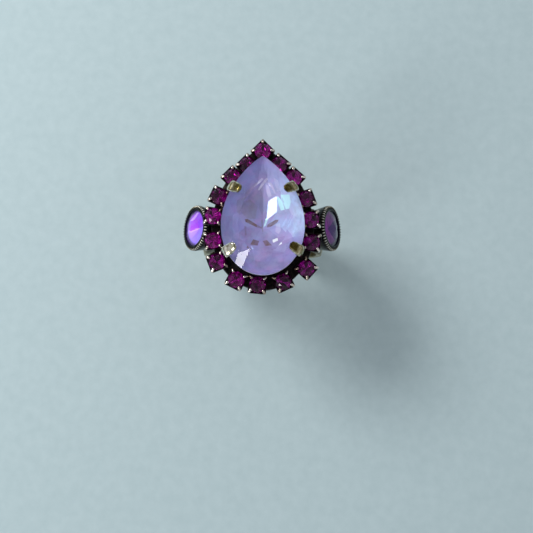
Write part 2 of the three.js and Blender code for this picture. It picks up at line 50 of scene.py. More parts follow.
UP = Vector((0, 0, 1))
SQUARE = ((1, 1), (-1, 1), (-1, -1), (1, -1))
random.seed(7)
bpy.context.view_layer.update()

# Band
BORE_RADIUS = 8.65
BAND_THICKNESS = 1.3
BAND_RADIUS = BORE_RADIUS + BAND_THICKNESS
BAND_MIDDLE = BORE_RADIUS + BAND_THICKNESS / 2
BAND_DOME = 0.3
BAND_EDGE = 0.25
BAND_EDGE_DROP = 0.1
BAND_EDGE_POWER = 6
BAND_CROWN_INSET = 0.06
SHOULDER_WIDTH = 6.8
BASE_WIDTH = 4.2
TAPER_DEGREES = (70, 170)
BAND_STEPS = 192
BAND_CORNER_STEPS = 4
BAND_CROWN_STEPS = 12

# Seats on the band, solder joints and the plate under the head
HEAD_PAD_LENGTH = 8.4
HEAD_PAD_RISE = 0.35
HEAD_PAD_DEPTH = 0.9
HEAD_PAD_EDGE = 0.08
SIDE_PAD_RISE = 0.15
SIDE_PAD_INSET = 0.7
SIDE_PAD_DEPTH = 1.2
SIDE_PAD_EDGE = 0.06
SIDE_PAD_STEPS = 64
SOLDER_GAP = 0.05
STONE_GAP = 0.04
PLATE_THICKNESS = 0.8
PLATE_MARGIN = 0.2
PLATE_TIP_MARGIN = 0.9
PLATE_EDGE = 0.1
PLATE_STEPS = 160
BEVEL_SHARE = 0.3
PAD_TOP = BAND_RADIUS + HEAD_PAD_RISE
PLATE_BOTTOM = PAD_TOP + SOLDER_GAP
PLATE_TOP = PLATE_BOTTOM + PLATE_THICKNESS
SETTING_FOOT = PLATE_TOP + SOLDER_GAP

# Pear stone
PEAR_LENGTH = 18.4
PEAR_WIDTH = 12.65
PEAR_CROWN = 1.7
PEAR_GIRDLE = 0.45
PEAR_PAVILION = 3.2
PEAR_FACETS = 12
PEAR_STEPS = 96
WIDEST_SHARE = 0.41
TIP_TAPER_POWER = 1.74
TIP_STRETCH_SHARE = 1.3
TABLE_SHARE = 0.6
STAR_SHARE = 0.82
STAR_SWELL_SHARE = 1.12
INNER_RING_SHARE = 0.16
MIDDLE_RING_SHARE = 0.43
OUTER_RING_SHARE = 0.63
INNER_RISE_SHARE = 0.094
CULET_LEVEL = SETTING_FOOT + 0.8
CULET_Y = PEAR_LENGTH * (WIDEST_SHARE - 0.5)
GIRDLE_BOTTOM = CULET_LEVEL + PEAR_PAVILION
GIRDLE_TOP = GIRDLE_BOTTOM + PEAR_GIRDLE

# Basket and claws of the pear stone; the claws' shares run from foot to tip
BASKET_WALL = 0.5
BASKET_FOOT_SHARE = 0.5
BASKET_SQUARENESS = 0.45
BASKET_STEPS = 144
BASKET_SIDES = 20
BASE_RING_HEIGHT = 0.8
GALLERY_LEVEL_SHARE = 0.45
GALLERY_HEIGHT = 0.6
GALLERY_CLEARANCE = 0.1
GALLERY_MIDDLE = SETTING_FOOT + GALLERY_LEVEL_SHARE * (GIRDLE_BOTTOM - SETTING_FOOT)
KNEE_LEVEL_SHARE = 0.7
CLAW_THICKNESS = 0.62
CLAW_WIDTH = 1.8
CLAW_FOOT_WIDTH = 1.0
CLAW_KNEE_SHARE = 0.45
CLAW_WIDTH_SHARES = (0.9, 0.96, 0.98, 0.96, 0.92, 0.74, 0.3)
CLAW_THICKNESS_SHARES = (0.8, 0.8, 0.85, 0.9, 0.95, 1, 1, 1.05, 1, 0.4)
CLAW_REACH = 1.5
CLAW_REACH_SHARES = (0.5, 0.8, 1)
CLAW_GAP = 0.07
CLAW_SETTLING = 0.02
CLAW_SIDES = 32
CLAW_ROUNDNESS = 2.3
CLAW_STEPS = 6
CLAW_TURN_SHARES = (0.157, 0.338, 0.665, 0.843)
CLAW_POLISH_SHARES = (0.3, 0.75, 0.12, 0.22)

# Halo stones and cups
HALO_CUPS = 16
CHATON_RADIUS = 1.25
CHATON_CROWN = 0.45
CHATON_GIRDLE = 0.1
CHATON_PAVILION = 1.0
CHATON_FACETS = 8
CHATON_STEPS = 32
CHATON_TABLE_SHARE = 0.58
CHATON_STAR_SHARE = 0.8
CHATON_SWELL_SHARE = 1.15
CHATON_BREAK_SHARES = (0.5, 0.54)
CHATON_CAST = 0.3
CHATON_SPARK = 0.8
CHATON_SPARK_POWER = 1.5
CUP_WALL = 0.12
CUP_SIDE = 2 * (CHATON_RADIUS + STONE_GAP + CUP_WALL)
CUP_FLOOR = 0.3
CUP_CLEARANCE = 0.15
CUP_HEIGHT = CUP_FLOOR + CUP_CLEARANCE + CHATON_PAVILION + CHATON_GIRDLE
CUP_FOOT_SHARE = 0.82
CUP_FOOT_BEVEL = 0.1
CUP_SQUARENESS = 12
CUP_STEPS = 48
HALO_OFFSET = CUP_SIDE / 2 - 0.04

# Top of a cup: how much smaller than the cup it is and how far under the rim; then its mouth,
# by the distance out from the stone, the depth and the squareness; then its round hollow
CUP_TOP = ((0.02, 0.06), (0.06, 0))
CUP_MOUTH = ((0.06, 0, 6), (0.04, 0.4, 3))
CUP_HOLLOW_SHARES = (0.93, 0.85)
CUP_HOLLOW_RISES = (0.05, 0)
ROUND = 2

# Prongs of the cups: places are distances out from the cup's corner or the stone's edge and
# up from the cup's rim or the prong's top, and sizes are half widths and half thicknesses
PRONG_RISE = 0.36
PRONG_INSET = 0.25
PRONG_FOOT = (0.1, 0.15)
PRONG_CORNER = ((0.02, -0.25), (0, 0.12))
PRONG_BEAD = ((0.2, -0.04), (0.02, -0.02), (-0.12, -0.06))
PRONG_SIZES = ((0.1, 0.08), (0.17, 0.14), (0.2, 0.15), (0.21, 0.15), (0.19, 0.14), (0.06, 0.05))
PRONGS = 4
PRONG_STEPS = 4
PRONG_SIDES = 14
PRONG_ROUNDNESS = 2.1

# Side stones and their bezels
RIVOLI_RADIUS = 3.2
RIVOLI_CROWN = 0.95
RIVOLI_GIRDLE = 0.25
RIVOLI_PAVILION = 1.35
RIVOLI_SWELL_SHARE = 1.12
RIVOLI_INNER_SHARE = 0.62
RIVOLI_BREAK_SHARES = (0.70, 0.33)
RIVOLI_CORE_SHIFT = 0.45
RIVOLI_FACETS = 8
RIVOLI_STEPS = 64
# Tones of the side stones' sectors, which paint the light and shade of their facets
RIVOLI_PAINTED_LIGHT_SHARES = {
    "left": (0.80, 0.76, 0.70, 0.74, 1.02, 1.05, 1.12, 1.12),
    "right": (0.10, 0.36, 0.46, 0.52, 0.52, 0.46, 0.40, 0.12),
}
BEZEL_WALL = 0.38
BEZEL_FLOOR = 0.55
BEZEL_BEVEL = 0.1
BEZEL_LIP = 0.3
BEZEL_LIP_REACH = 0.42
BEZEL_FOOT_SHARE = 0.9
BEZEL_TEETH = 48
STEPS_PER_TOOTH = 8
BEZEL_NOTCH = 0.22
NOTCH_POWER = 1.5
CREST_POWER = 1.6
BEZEL_RADIUS = RIVOLI_RADIUS + STONE_GAP + BEZEL_WALL
BEZEL_SEAT = BEZEL_FLOOR + STONE_GAP + RIVOLI_PAVILION
BEZEL_HEIGHT = BEZEL_SEAT + RIVOLI_GIRDLE + STONE_GAP + BEZEL_LIP
SIDE_SEAT_RADIUS = BAND_RADIUS + SIDE_PAD_RISE
BEZEL_DROP = 0.95
LEAN_DEGREES = {"left": 3.5, "right": -3}

# Outline of the teeth: level over the foot of the lip on the wall, then distance in from the
# wall and depth under the top, each with the depth of the notches; then the lip's inner edge
TOOTH_WALL = ((-0.25, 0), (-0.1, 0.5), (0.1, 1))
TOOTH_TOP = ((0.06, 0.06, 1), (0.18, 0, 0.9), (0.38, 0, 0.3))
LIP_EDGE = ((0.12, 0.03), (0.04, 0.06), (0, 0.1))

# Wear, from 0 in the recesses to 1 on the high spots, and the spans over which it changes; some of it is
# painted shade and glints
BORE_MARGIN = 0.12
BORE_WEAR = 0.55
BAND_WEAR = 0.8
BAND_EDGE_WEAR = 0.15
BAND_EDGE_SPAN = (1.2, 3.2)
# Painted shade on the band towards the head
UNDER_HEAD_SHADE = 0.6
UNDER_HEAD_SPAN = (0, 5)
PLATE_TOP_WEAR = 0.22
PLATE_SIDE_WEAR = 0.6
PLATE_TOP_DEPTH = 0.15
BASKET_WEAR = 0.35
CLAW_FOOT_WEAR = 0.1
CLAW_EDGE_WEAR = 0.8
CLAW_FOLD_SHARE = 0.7
CLAW_RISE_SPAN = (GIRDLE_BOTTOM - 1.2, GIRDLE_TOP + 0.2)
CLAW_SIDE_SPAN = (0.3, 0.8)
CLAW_FOLD_SPAN = (0.6 * CLAW_REACH, CLAW_REACH)
CUP_RIM_WEAR = 0.12
CUP_RIM_DEPTH = 0.1
PRONG_SPAN = (-1.3, 0.2)
INNER_PRONG_WEAR = (0.55, 1)
OUTER_PRONG_WEAR = (0.75, 1)
FACING_PEAR = 0.2
# Painted glints on the crests of the bezels' teeth
TICK_INSETS = (0.42, 0.30)
TICK_DEPTH = 0.2
BEZEL_WALL_WEAR = 0.5
BEZEL_WALL_SPAN = (0.2, 0.6)

# Angles in degrees over which an edge of a mesh is drawn sharp
EDGE_SHARP = 35
HOOP_SHARP = 50
BAR_SHARP = 60
CUP_SHARP = 40
STONE_SHARP = 4
PEAR_SHARP = 1.5

# A face of a stone that tilts down by more than this is part of its back
BACK_TILT = 0.05
FLAT_DEGREES = 0.6
MERGE_DISTANCE = 0.0001

# Materials: spans of a noise, an attribute or the wear, and the colour sockets of a mix
NOISE_SPAN = (0.3, 0.7)
NOISE_ROUGHNESS = 0.55
MIX_UNDER, MIX_OVER, MIX_RESULT = 6, 7, 2
METAL_TIP_SPAN = (0.5, 0.9)
METAL_RIPPLE_SHARE = 0.8
GLASS_INDEX = 1.54
TONE_SPAN = (0.1, 1.3)
CLOUD_SPAN = (0.42, 0.68)
MARK_SPAN = (0.3, 0.65)
RIM_SHADE_SPAN = (0.70, 0.86)
FROSTED_DARK_SHARE = 0.9

# Floor, room and camera; the picture's numbers are pixels and the near and far limits metres
FLOOR_HALF = 1500
FLOOR_LEVEL = -BAND_RADIUS
FLOOR_COLOURS = ((0.45, 0.57, 0.60), (0.49, 0.61, 0.64))
WINDOW_COLOUR = (1, 0.99, 0.97)
ROOM_STRENGTH = 0.8
ROOM_STOPS = [
    (0, (0.20, 0.20, 0.21)), (0.5, (0.62, 0.64, 0.66)),
    (0.85, (0.50, 0.52, 0.56)), (1, (0.20, 0.21, 0.24)),
]
IMAGE_SIZE = 533
FOCAL_LENGTH = 1158
CENTRE_SEEN_AT = (262.8, 215)
CAMERA_TARGET = Vector((0, 0, 15.5))
CAMERA_DISTANCE = 175
CAMERA_TILT_DEGREES = 13
SENSOR_WIDTH = 36
CAMERA_LIMITS = (0.005, 10)


# Mesh helpers


def lerp(a, b, t):
    return a + (b - a) * t


def smoothstep(x, low, high):
    t = min(max((x - low) / (high - low), 0), 1)
    return t * t * (3 - 2 * t)


def turns(count, phase=0):
    """Angles spread evenly over a full turn."""
    return [2 * math.pi * (i + phase) / count for i in range(count)]


def polar(radius, turn, z):
    return Vector((radius * math.cos(turn), radius * math.sin(turn), z))


def fill_ramp(ramp, stops):
    """Gives a colour ramp its stops of (place, colour)."""
    while len(ramp.elements) < len(stops):
        ramp.elements.new(0.5)
    for element, (at, colour) in zip(ramp.elements, stops):
        element.position = at
        element.color = (*colour, 1)


def add_object(name, data):
    """A new object in the scene."""
    thing = bpy.data.objects.new(name, data)
    bpy.context.scene.collection.objects.link(thing)
    return thing


def new_piece(name, points, faces, materials, slot, replaced=(), sharp=EDGE_SHARP, place=None):
    """A closed mesh in the frame, riding on the ring's one body."""
    mesh = bpy.data.meshes.new(name)
    if place:
        points = [place(p) for p in points]
    mesh.from_pydata([Vector(p) * MM for p in points], [], faces)
    work = bmesh.new()
    work.from_mesh(mesh)
    bmesh.ops.recalc_face_normals(work, faces=work.faces)
    work.to_mesh(mesh)
    work.free()
    for material in materials:
        mesh.materials.append(material)
    mesh.polygons.foreach_set("use_smooth", [True] * len(mesh.polygons))
    mesh.set_sharp_from_angle(angle=math.radians(sharp))
    piece = add_object(name, mesh)
    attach(piece, BODY)
    if replaced:
        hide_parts(*replaced)
    return piece


def loft(rings, closed=False):
    """Points and faces of a skin over rings of equally many points."""
    count = len(rings[0])
    points = [p for ring in rings for p in ring]
    faces = []
    for i in range(len(rings) if closed else len(rings) - 1):
        low, high = i * count, ((i + 1) % len(rings)) * count
        for j in range(count):
            k = (j + 1) % count
            faces.append((low + j, low + k, high + k, high + j))
    if not closed:
        faces.append(tuple(range(count))[::-1])
        faces.append(tuple(range(len(points) - count, len(points))))
    return points, faces


def set_points(piece, name, value_at):
    """Stores a number for each point of a piece, from the point's place."""
    layer = piece.data.attributes.new(name, "FLOAT", "POINT")
    layer.data.foreach_set("value", [value_at(v.co / MM) for v in piece.data.vertices])


def set_wear(piece, wear_at):
    """Stores how polished each point is, from 0 in the recesses to 1 on the high spots; on the band it also
    carries painted shade, and on the bezels painted glints.
    """
    set_points(piece, "wear_and_light", wear_at)


def spline(points, values, steps):
    """Smooth points through the given ones, with values blended along them."""
    out = []
    last = len(points) - 1
    for i in range(last):
        a, b = points[max(i - 1, 0)], points[i]
        c, d = points[i + 1], points[min(i + 2, last)]
        for s in range(steps):
            t = s / steps
            p = 0.5 * (
                2 * b + (c - a) * t + (2 * a - 5 * b + 4 * c - d) * t * t
                + (3 * b - a - 3 * c + d) * t * t * t
            )
            out.append((p, [lerp(u, v, smoothstep(t, 0, 1)) for u, v in zip(values[i], values[i + 1])]))
    out.append((points[last], list(values[last])))
    return out


def strip(spine, across, sides, roundness):
    """Rings of a bar along a spine of (point, (half width, half thickness)).

    A roundness of 2 gives an oval section, and a higher one a squarer section.
    """
    rings = []
    for i, (point, (half, thick)) in enumerate(spine):
        before, after = spine[max(i - 1, 0)][0], spine[min(i + 1, len(spine) - 1)][0]
        along = (after - before).normalized()
        through = along.cross(across).normalized()
        ring = []
        for turn in turns(sides):
            c, s = math.cos(turn), math.sin(turn)
            x = math.copysign(abs(c) ** (2 / roundness), c) * half
            y = math.copysign(abs(s) ** (2 / roundness), s) * thick
            ring.append(point + across * x + through * y)
        rings.append(ring)
    return rings


# Materials


class Nodes:
    """Short ways to add nodes to one material."""

    def __init__(self, name):
        self.material = bpy.data.materials.new(name)
        self.material.use_nodes = True
        self.tree = self.material.node_tree
        self.shader = self.tree.nodes["Principled BSDF"]
        self.output = self.tree.nodes["Material Output"]
        self.place = self.add("ShaderNodeTexCoord").outputs["Object"]

    def add(self, kind, **settings):
        node = self.tree.nodes.new(kind)
        for key, value in settings.items():
            setattr(node, key, value)
        return node

    def link(self, source, target):
        self.tree.links.new(source, target)

    def noise(self, size_mm, detail=4):
        node = self.add("ShaderNodeTexNoise")
        node.inputs["Scale"].default_value = 1 / (size_mm * MM)
        node.inputs["Detail"].default_value = detail
        node.inputs["Roughness"].default_value = NOISE_ROUGHNESS
        self.link(self.place, node.inputs["Vector"])
        return node.outputs["Fac"]

    def vary(self, size_mm, low, high, detail=4):
        """A noise whose values lie between two others."""
        return self.spread(self.noise(size_mm, detail), *NOISE_SPAN, low, high)

    def attribute(self, name):
        return self.add("ShaderNodeAttribute", attribute_name=name).outputs["Fac"]

    def math(self, operation, a, b):
        node = self.add("ShaderNodeMath", operation=operation)
        for socket, value in zip(node.inputs, (a, b)):
            if isinstance(value, (int, float)):
                socket.default_value = value
            else:
                self.link(value, socket)
        return node.outputs[0]

    def ramp(self, factor, stops):
        node = self.add("ShaderNodeValToRGB")
        fill_ramp(node.color_ramp, stops)
        self.link(factor, node.inputs["Fac"])
        return node.outputs["Color"]

    def spread(self, factor, low, high, to_low=0, to_high=1):
        node = self.add("ShaderNodeMapRange")
        for key, value in zip(("From Min", "From Max", "To Min", "To Max"), (low, high, to_low, to_high)):
            node.inputs[key].default_value = value
        self.link(factor, node.inputs["Value"])
        return node.outputs[0]

    def blend(self, factor, under, over):
        node = self.add("ShaderNodeMix", data_type="RGBA")
        self.link(factor, node.inputs["Factor"])
        self.link(under, node.inputs[MIX_UNDER])
        node.inputs[MIX_OVER].default_value = (*over, 1)
        return node.outputs[MIX_RESULT]

    def bump(self, height, distance_mm):
        node = self.add("ShaderNodeBump")
        node.inputs["Distance"].default_value = distance_mm * MM
        self.link(height, node.inputs["Height"])
        self.link(node.outputs[0], self.shader.inputs["Normal"])


def antique_metal(name, stops, rough=(0.5, 0.22), patina_mm=0.9, patina=1.1, tip_metallic=None):
    """Old brass: polished where the wear attribute is high, dark where it is low.

    Tips that are less than metallic are painted glints: they scatter the lamps' light, as points do that are
    too small to see.
    """
    n = Nodes(name)
    blotch = n.math("SUBTRACT", n.noise(patina_mm), 0.5)
    worn = n.math("ADD", n.attribute("wear_and_light"), n.math("MULTIPLY", blotch, patina))
    worn = n.spread(worn, 0, 1)
    n.link(n.ramp(worn, stops), n.shader.inputs["Base Color"])
    grain = n.vary(size_mm=0.12, low=-0.06, high=0.08, detail=3)
    roughness = n.math("ADD", n.spread(worn, 0, 1, *rough), grain)
    n.link(roughness, n.shader.inputs["Roughness"])
    n.shader.inputs["Metallic"].default_value = 1
    if tip_metallic is not None:
        n.link(n.spread(worn, *METAL_TIP_SPAN, 1, tip_metallic), n.shader.inputs["Metallic"])
    ripple = n.math("MULTIPLY", n.noise(size_mm=0.9), METAL_RIPPLE_SHARE)
    n.bump(n.math("ADD", n.noise(size_mm=0.25), ripple), distance_mm=0.012)
    return n.material


def crystal(name, tint):
    """Clear cut glass whose shadow is left out, so that the coated back is lit."""
    n = Nodes(name)
    n.shader.inputs["Base Color"].default_value = (*tint, 1)
    n.shader.inputs["Transmission Weight"].default_value = 1
    n.shader.inputs["Roughness"].default_value = 0
    n.shader.inputs["IOR"].default_value = GLASS_INDEX
    clear = n.add("ShaderNodeBsdfTransparent")
    clear.inputs["Color"].default_value = (*tint, 1)
    mix = n.add("ShaderNodeMixShader")
    n.link(n.add("ShaderNodeLightPath").outputs["Is Shadow Ray"], mix.inputs["Fac"])
    n.link(n.shader.outputs[0], mix.inputs[1])
    n.link(clear.outputs[0], mix.inputs[2])
    n.link(mix.outputs[0], n.output.inputs["Surface"])
    n.bump(n.noise(size_mm=0.6, detail=2), distance_mm=0.0006)
    return n.material


def foil(name, stops, metallic, rough, mottle_mm=0.8, mottle=0.45, clouds=(), marks=(), rim=None):
    """The coated back of a stone, whose facets differ in colour, at random and by painted light and shade.

    A cloud is a size, an amount and a colour. A mark, a painted highlight, reflection or shade, is the
    face layer that it fills, how patchy it is and its colour. The rim colour, painted shade, takes over
    where the layer of that name is high.
    """
    n = Nodes(name)
    shade = n.math("ADD", n.attribute("facet"), n.math("MULTIPLY", n.noise(mottle_mm), mottle))
    colour = n.ramp(n.spread(shade, *TONE_SPAN), stops)
    for size_mm, amount, tint in clouds:
        colour = n.blend(n.spread(n.noise(size_mm, detail=3), *CLOUD_SPAN, 0, amount), colour, tint)
    # Painted highlights, reflections and shade
    for kind, patchy, tint in marks:
        worn = n.spread(n.noise(size_mm=0.7), *MARK_SPAN, 1 - patchy, 1)
        colour = n.blend(n.math("MULTIPLY", n.attribute(kind), worn), colour, tint)
    # Painted shade towards the rim of a side stone
    if rim:
        colour = n.blend(n.spread(n.attribute("rim"), *RIM_SHADE_SPAN), colour, rim)
    n.link(colour, n.shader.inputs["Base Color"])
    n.shader.inputs["Metallic"].default_value = metallic
    roughness = n.vary(size_mm=0.3, low=0.8 * rough, high=1.3 * rough)
    n.link(roughness, n.shader.inputs["Roughness"])
    n.bump(n.noise(size_mm=0.5, detail=3), distance_mm=0.002)
    return n.material


def frosted(name, colour, clear):
    """Ground glass, which scatters the light that it passes."""
    n = Nodes(name)
    dull = [FROSTED_DARK_SHARE * level for level in colour]
    stops = list(zip(NOISE_SPAN, (dull, colour)))
    n.link(n.ramp(n.noise(size_mm=0.3), stops), n.shader.inputs["Base Color"])
    n.shader.inputs["Transmission Weight"].default_value = clear
    n.shader.inputs["Roughness"].default_value = 0.4
    n.bump(n.noise(size_mm=0.08), distance_mm=0.004)
    return n.material


band_brass = antique_metal(
    "band_brass",
    [(0, (0.020, 0.016, 0.010)), (0.5, (0.15, 0.120, 0.055)), (1, (0.55, 0.45, 0.24))],
    patina_mm=0.7, patina=0.75,
)
claw_brass = antique_metal(
    "claw_brass",
    [
        (0, (0.030, 0.022, 0.005)), (0.35, (0.12, 0.092, 0.022)),
        (0.70, (0.40, 0.35, 0.19)), (1, (0.98, 0.95, 0.84)),
    ],
    rough=(0.30, 0.12), patina_mm=0.45, patina=0.95,
)
plate_metal = antique_metal(
    "oxidised_plate",
    [(0, (0.006, 0.006, 0.008)), (0.6, (0.040, 0.032, 0.026)), (1, (0.28, 0.22, 0.13))],
    rough=(0.5, 0.3), patina_mm=0.35, patina=1.5,
)
cup_metal = antique_metal(
    "cup_metal",
    [
        (0, (0.012, 0.004, 0.010)), (0.25, (0.055, 0.018, 0.035)),
        (0.6, (0.32, 0.22, 0.16)), (1, (1, 0.93, 0.84)),
    ],
    rough=(0.35, 0.14), patina_mm=0.5, patina=0.5,
)
# The near-white top and the low metallic of the tips make the teeth's crests painted glints
bezel_metal = antique_metal(
    "bezel_metal",
    [
        (0, (0.006, 0.006, 0.012)), (0.25, (0.04, 0.035, 0.022)),
        (0.55, (0.24, 0.22, 0.14)), (1, (0.98, 0.97, 0.92)),
    ],
    rough=(0.26, 0.14), patina_mm=0.6, patina=0.3, tip_metallic=0.3,
)
lavender_glass = crystal("lavender_glass", (0.93, 0.94, 1))
# The top of this ramp is the cool pale colour of the pear's painted glow
lavender_back = foil(
    "lavender_back",
    [
        (0, (0.20, 0.18, 0.34)), (0.40, (0.30, 0.26, 0.49)), (0.60, (0.41, 0.42, 0.69)),
        (0.85, (0.57, 0.75, 0.97)), (1, (0.76, 0.97, 1)),
    ],
    metallic=0.25, rough=0.06, mottle_mm=2.2,
    clouds=(
        (1.5, 0.42, (0.56, 0.34, 0.62)), (1.1, 0.42, (0.27, 0.33, 0.37)), (2.2, 0.30, (0.34, 0.35, 0.86)),
    ),
    # Painted marks: grey shade, brown reflections of the claws, and pale, cyan and white highlights
    marks=(
        ("smoke", 0.5, (0.24, 0.22, 0.27)), ("stain", 0.4, (0.17, 0.095, 0.08)),
        ("sheen", 0.3, (0.86, 0.82, 0.95)), ("sea", 0, (0.62, 0.98, 1)), ("bare", 0, (0.95, 1, 1)),
    ),
)
ground_glass = frosted("ground_glass", (0.80, 0.78, 0.92), 0.25)
fuchsia_glass = crystal("fuchsia_glass", (0.70, 0.11, 0.59))
fuchsia_back = foil(
    "fuchsia_back",
    [
        (0, (0.015, 0.001, 0.02)), (0.38, (0.09, 0.003, 0.085)),
        (0.68, (0.36, 0.012, 0.31)), (1, (1, 0.32, 1)),
    ],
    metallic=0.82, rough=0.08, mottle_mm=0.3, mottle=0.95,
)
violet_glass = crystal("violet_glass", (0.78, 0.52, 1))
violet_back = foil(
    "violet_back",
    [
        (0, (0.05, 0.01, 0.16)), (0.25, (0.20, 0.03, 0.40)), (0.42, (0.72, 0.07, 0.58)),
        (0.65, (0.46, 0.17, 0.90)), (1, (0.44, 0.60, 1)),
    ],
    metallic=0.2, rough=0.5, mottle_mm=0.9, mottle=0.25,
    # A painted white highlight, and painted shade towards the stone's rim
    marks=[("sheen", 0.2, (1, 1, 1))], rim=(0.02, 0.004, 0.07),
)


# Band and plate


def band_section(angle):
    """The band's outline at an angle from the head: rounded corners inside, a dome outside."""
    turned = abs(math.degrees(angle))
    half = lerp(SHOULDER_WIDTH, BASE_WIDTH, smoothstep(turned, *TAPER_DEGREES)) / 2
    corner = []
    for i in range(BAND_CORNER_STEPS + 1):
        turn = math.pi / 2 * i / BAND_CORNER_STEPS
        r = BORE_RADIUS + BAND_EDGE * (1 - math.sin(turn))
        corner.append((r, half - BAND_EDGE * (1 - math.cos(turn))))
    shoulder = BAND_RADIUS - BAND_DOME - BAND_EDGE
    profile = [(r, -y) for r, y in corner] + corner[::-1] + [(shoulder, half)]
    for i in range(BAND_CROWN_STEPS + 1):
        share = 1 - 2 * i / BAND_CROWN_STEPS
        r = BAND_RADIUS - BAND_DOME * share ** 2 - BAND_EDGE_DROP * abs(share) ** BAND_EDGE_POWER
        profile.append((r, (half - BAND_CROWN_INSET) * share))
    profile.append((shoulder, -half))
    return [Vector((r * math.sin(angle), y, r * math.cos(angle))) for r, y in profile]


def side_seat(side, lean):
    """A bezel's place on the band and the way it faces, with its rim clear of the plate."""
    rim = SIDE_SEAT_RADIUS + SOLDER_GAP + BEZEL_HEIGHT
    reach = math.hypot(rim, BEZEL_RADIUS)
    angle = math.atan2(BEZEL_RADIUS, rim) + math.acos((PLATE_BOTTOM - BEZEL_DROP) / reach)
    faced = angle - math.radians(lean)
    facing = Vector((side * math.sin(faced), 0, math.cos(faced)))
    return Vector((side * math.sin(angle), 0, math.cos(angle))) * SIDE_SEAT_RADIUS, facing


SEATS = {name: side_seat(side, LEAN_DEGREES[name]) for name, side in (("left", -1), ("right", 1))}


def rounded_prism(outline, low, high, edge):
    """Rings of a plate with rounded edges; the outline is asked for an offset."""
    bevel = edge * BEVEL_SHARE
    profile = [(-edge, low), (-bevel, low + bevel), (0, low + edge)]
    profile += [(0, high - edge), (-bevel, high - bevel), (-edge, high)]
    return loft([[Vector((*p, z)) for p in outline(offset)] for offset, z in profile])


def joined(piece, others):
    """Joins other closed meshes to a piece and deletes them."""
    for other in others:
        join = piece.modifiers.new("join", "BOOLEAN")
        join.operation, join.solver, join.object = "UNION", "EXACT", other
    shape = bpy.context.evaluated_depsgraph_get()
    bpy.context.view_layer.update()
    mesh = bpy.data.meshes.new_from_object(piece.evaluated_get(shape))
    piece.modifiers.clear()
    piece.data = mesh
    for other in others:
        bpy.data.objects.remove(other)


def make_band():
    """The hoop, with a seat for the head and a post for each bezel joined to it."""
    hoop = loft([band_section(turn - math.pi) for turn in turns(BAND_STEPS)], closed=True)
    band = new_piece("ring_band", *hoop, [band_brass], "band_brass", ["band"], HOOP_SHARP)
    width = SHOULDER_WIDTH / 2 - BAND_EDGE

    def pad_outline(offset):
        return [(x * (HEAD_PAD_LENGTH / 2 + offset), y * (width + offset)) for x, y in SQUARE]

    block = rounded_prism(pad_outline, BAND_MIDDLE - HEAD_PAD_DEPTH, PAD_TOP, HEAD_PAD_EDGE)
    pads = [new_piece("pad", *block, [band_brass], "band_brass")]
    radius = BEZEL_RADIUS * BEZEL_FOOT_SHARE - SIDE_PAD_INSET

    def post_outline(offset):
        return [polar(radius + offset, turn, 0).xy for turn in turns(SIDE_PAD_STEPS)]

    for place, facing in SEATS.values():
        turn = UP.rotation_difference(facing)
        points, faces = rounded_prism(post_outline, -SIDE_PAD_DEPTH, 0, SIDE_PAD_EDGE)
        points = [turn @ p + place for p in points]
        pads.append(new_piece("pad", points, faces, [band_brass], "band_brass"))
    joined(band, pads)
    band.data.set_sharp_from_angle(angle=math.radians(HOOP_SHARP))

    def wear_at(p):
        if math.hypot(p.x, p.z) < BORE_RADIUS + BORE_MARGIN:
            return BORE_WEAR
        edge = smoothstep(abs(p.y), *BAND_EDGE_SPAN)
        # Painted shade: the band darkens up towards the head
        under_head = smoothstep(p.z, *UNDER_HEAD_SPAN)
        return BAND_WEAR + BAND_EDGE_WEAR * edge * (1 - under_head) - UNDER_HEAD_SHADE * under_head

    set_wear(band, wear_at)


def pear_point(turn, scale=1, offset=0):
    """A place on the pear's outline, at a turn from its tip; an offset reaches further at the tip."""
    half = scale * PEAR_WIDTH / 2 + offset
    below = scale * PEAR_LENGTH * WIDEST_SHARE + offset
    above = scale * PEAR_LENGTH * (1 - WIDEST_SHARE) + TIP_STRETCH_SHARE * offset
    along, across = math.cos(turn), math.sin(turn)
    x = -math.copysign(half * abs(across) ** (TIP_TAPER_POWER if along > 0 else 1), across)
    return Vector((x, CULET_Y + along * (above if along > 0 else below)))


def make_plate():
    """The plate widens towards the tip, where the cups stand close."""
    def outline(offset):
        points = []
        for turn in turns(PLATE_STEPS):
            margin = lerp(PLATE_MARGIN, PLATE_TIP_MARGIN, max(math.cos(turn), 0))
            points.append(pear_point(turn, 1, HALO_OFFSET + margin + offset))
        return points

    prism = rounded_prism(outline, PLATE_BOTTOM, PLATE_TOP, PLATE_EDGE)
    plate = new_piece("head_plate", *prism, [plate_metal], "dark_brass", ["backing_plate"])
    top = PLATE_TOP - PLATE_TOP_DEPTH
    set_wear(plate, lambda p: PLATE_TOP_WEAR if p.z > top else PLATE_SIDE_WEAR)


# Basket and claws


def plane_level(corners, at):
    """The height at a place (x, y) of the plane through three corners."""
    a, b, c = corners
    normal = (b - a).cross(c - a)
    return a.z - (normal.x * (at.x - a.x) + normal.y * (at.y - a.y)) / normal.z


def pear_corners(count, phase, scale, z):
    """Evenly spread corners on the pear's outline at a level."""
    return [Vector((*pear_point(turn, scale), z)) for turn in turns(count, phase)]


def pavilion_corners():
    """Three rings of corners whose long kite facets are flat, and the culet."""
    count = PEAR_FACETS
    culet = Vector((0, CULET_Y, CULET_LEVEL))
    inner = pear_corners(count, 0.5, INNER_RING_SHARE, CULET_LEVEL + INNER_RISE_SHARE * PEAR_PAVILION)
    middle = pear_corners(count, 0, MIDDLE_RING_SHARE, 0)
    outer = pear_corners(count, 0.5, OUTER_RING_SHARE, 0)
    for k, corner in enumerate(middle):
        corner.z = plane_level((culet, inner[k - 1], inner[k]), corner)
    for k, corner in enumerate(outer):
        corner.z = plane_level((inner[k], middle[k], middle[(k + 1) % count]), corner)
    return [culet, *inner, *middle, *outer]


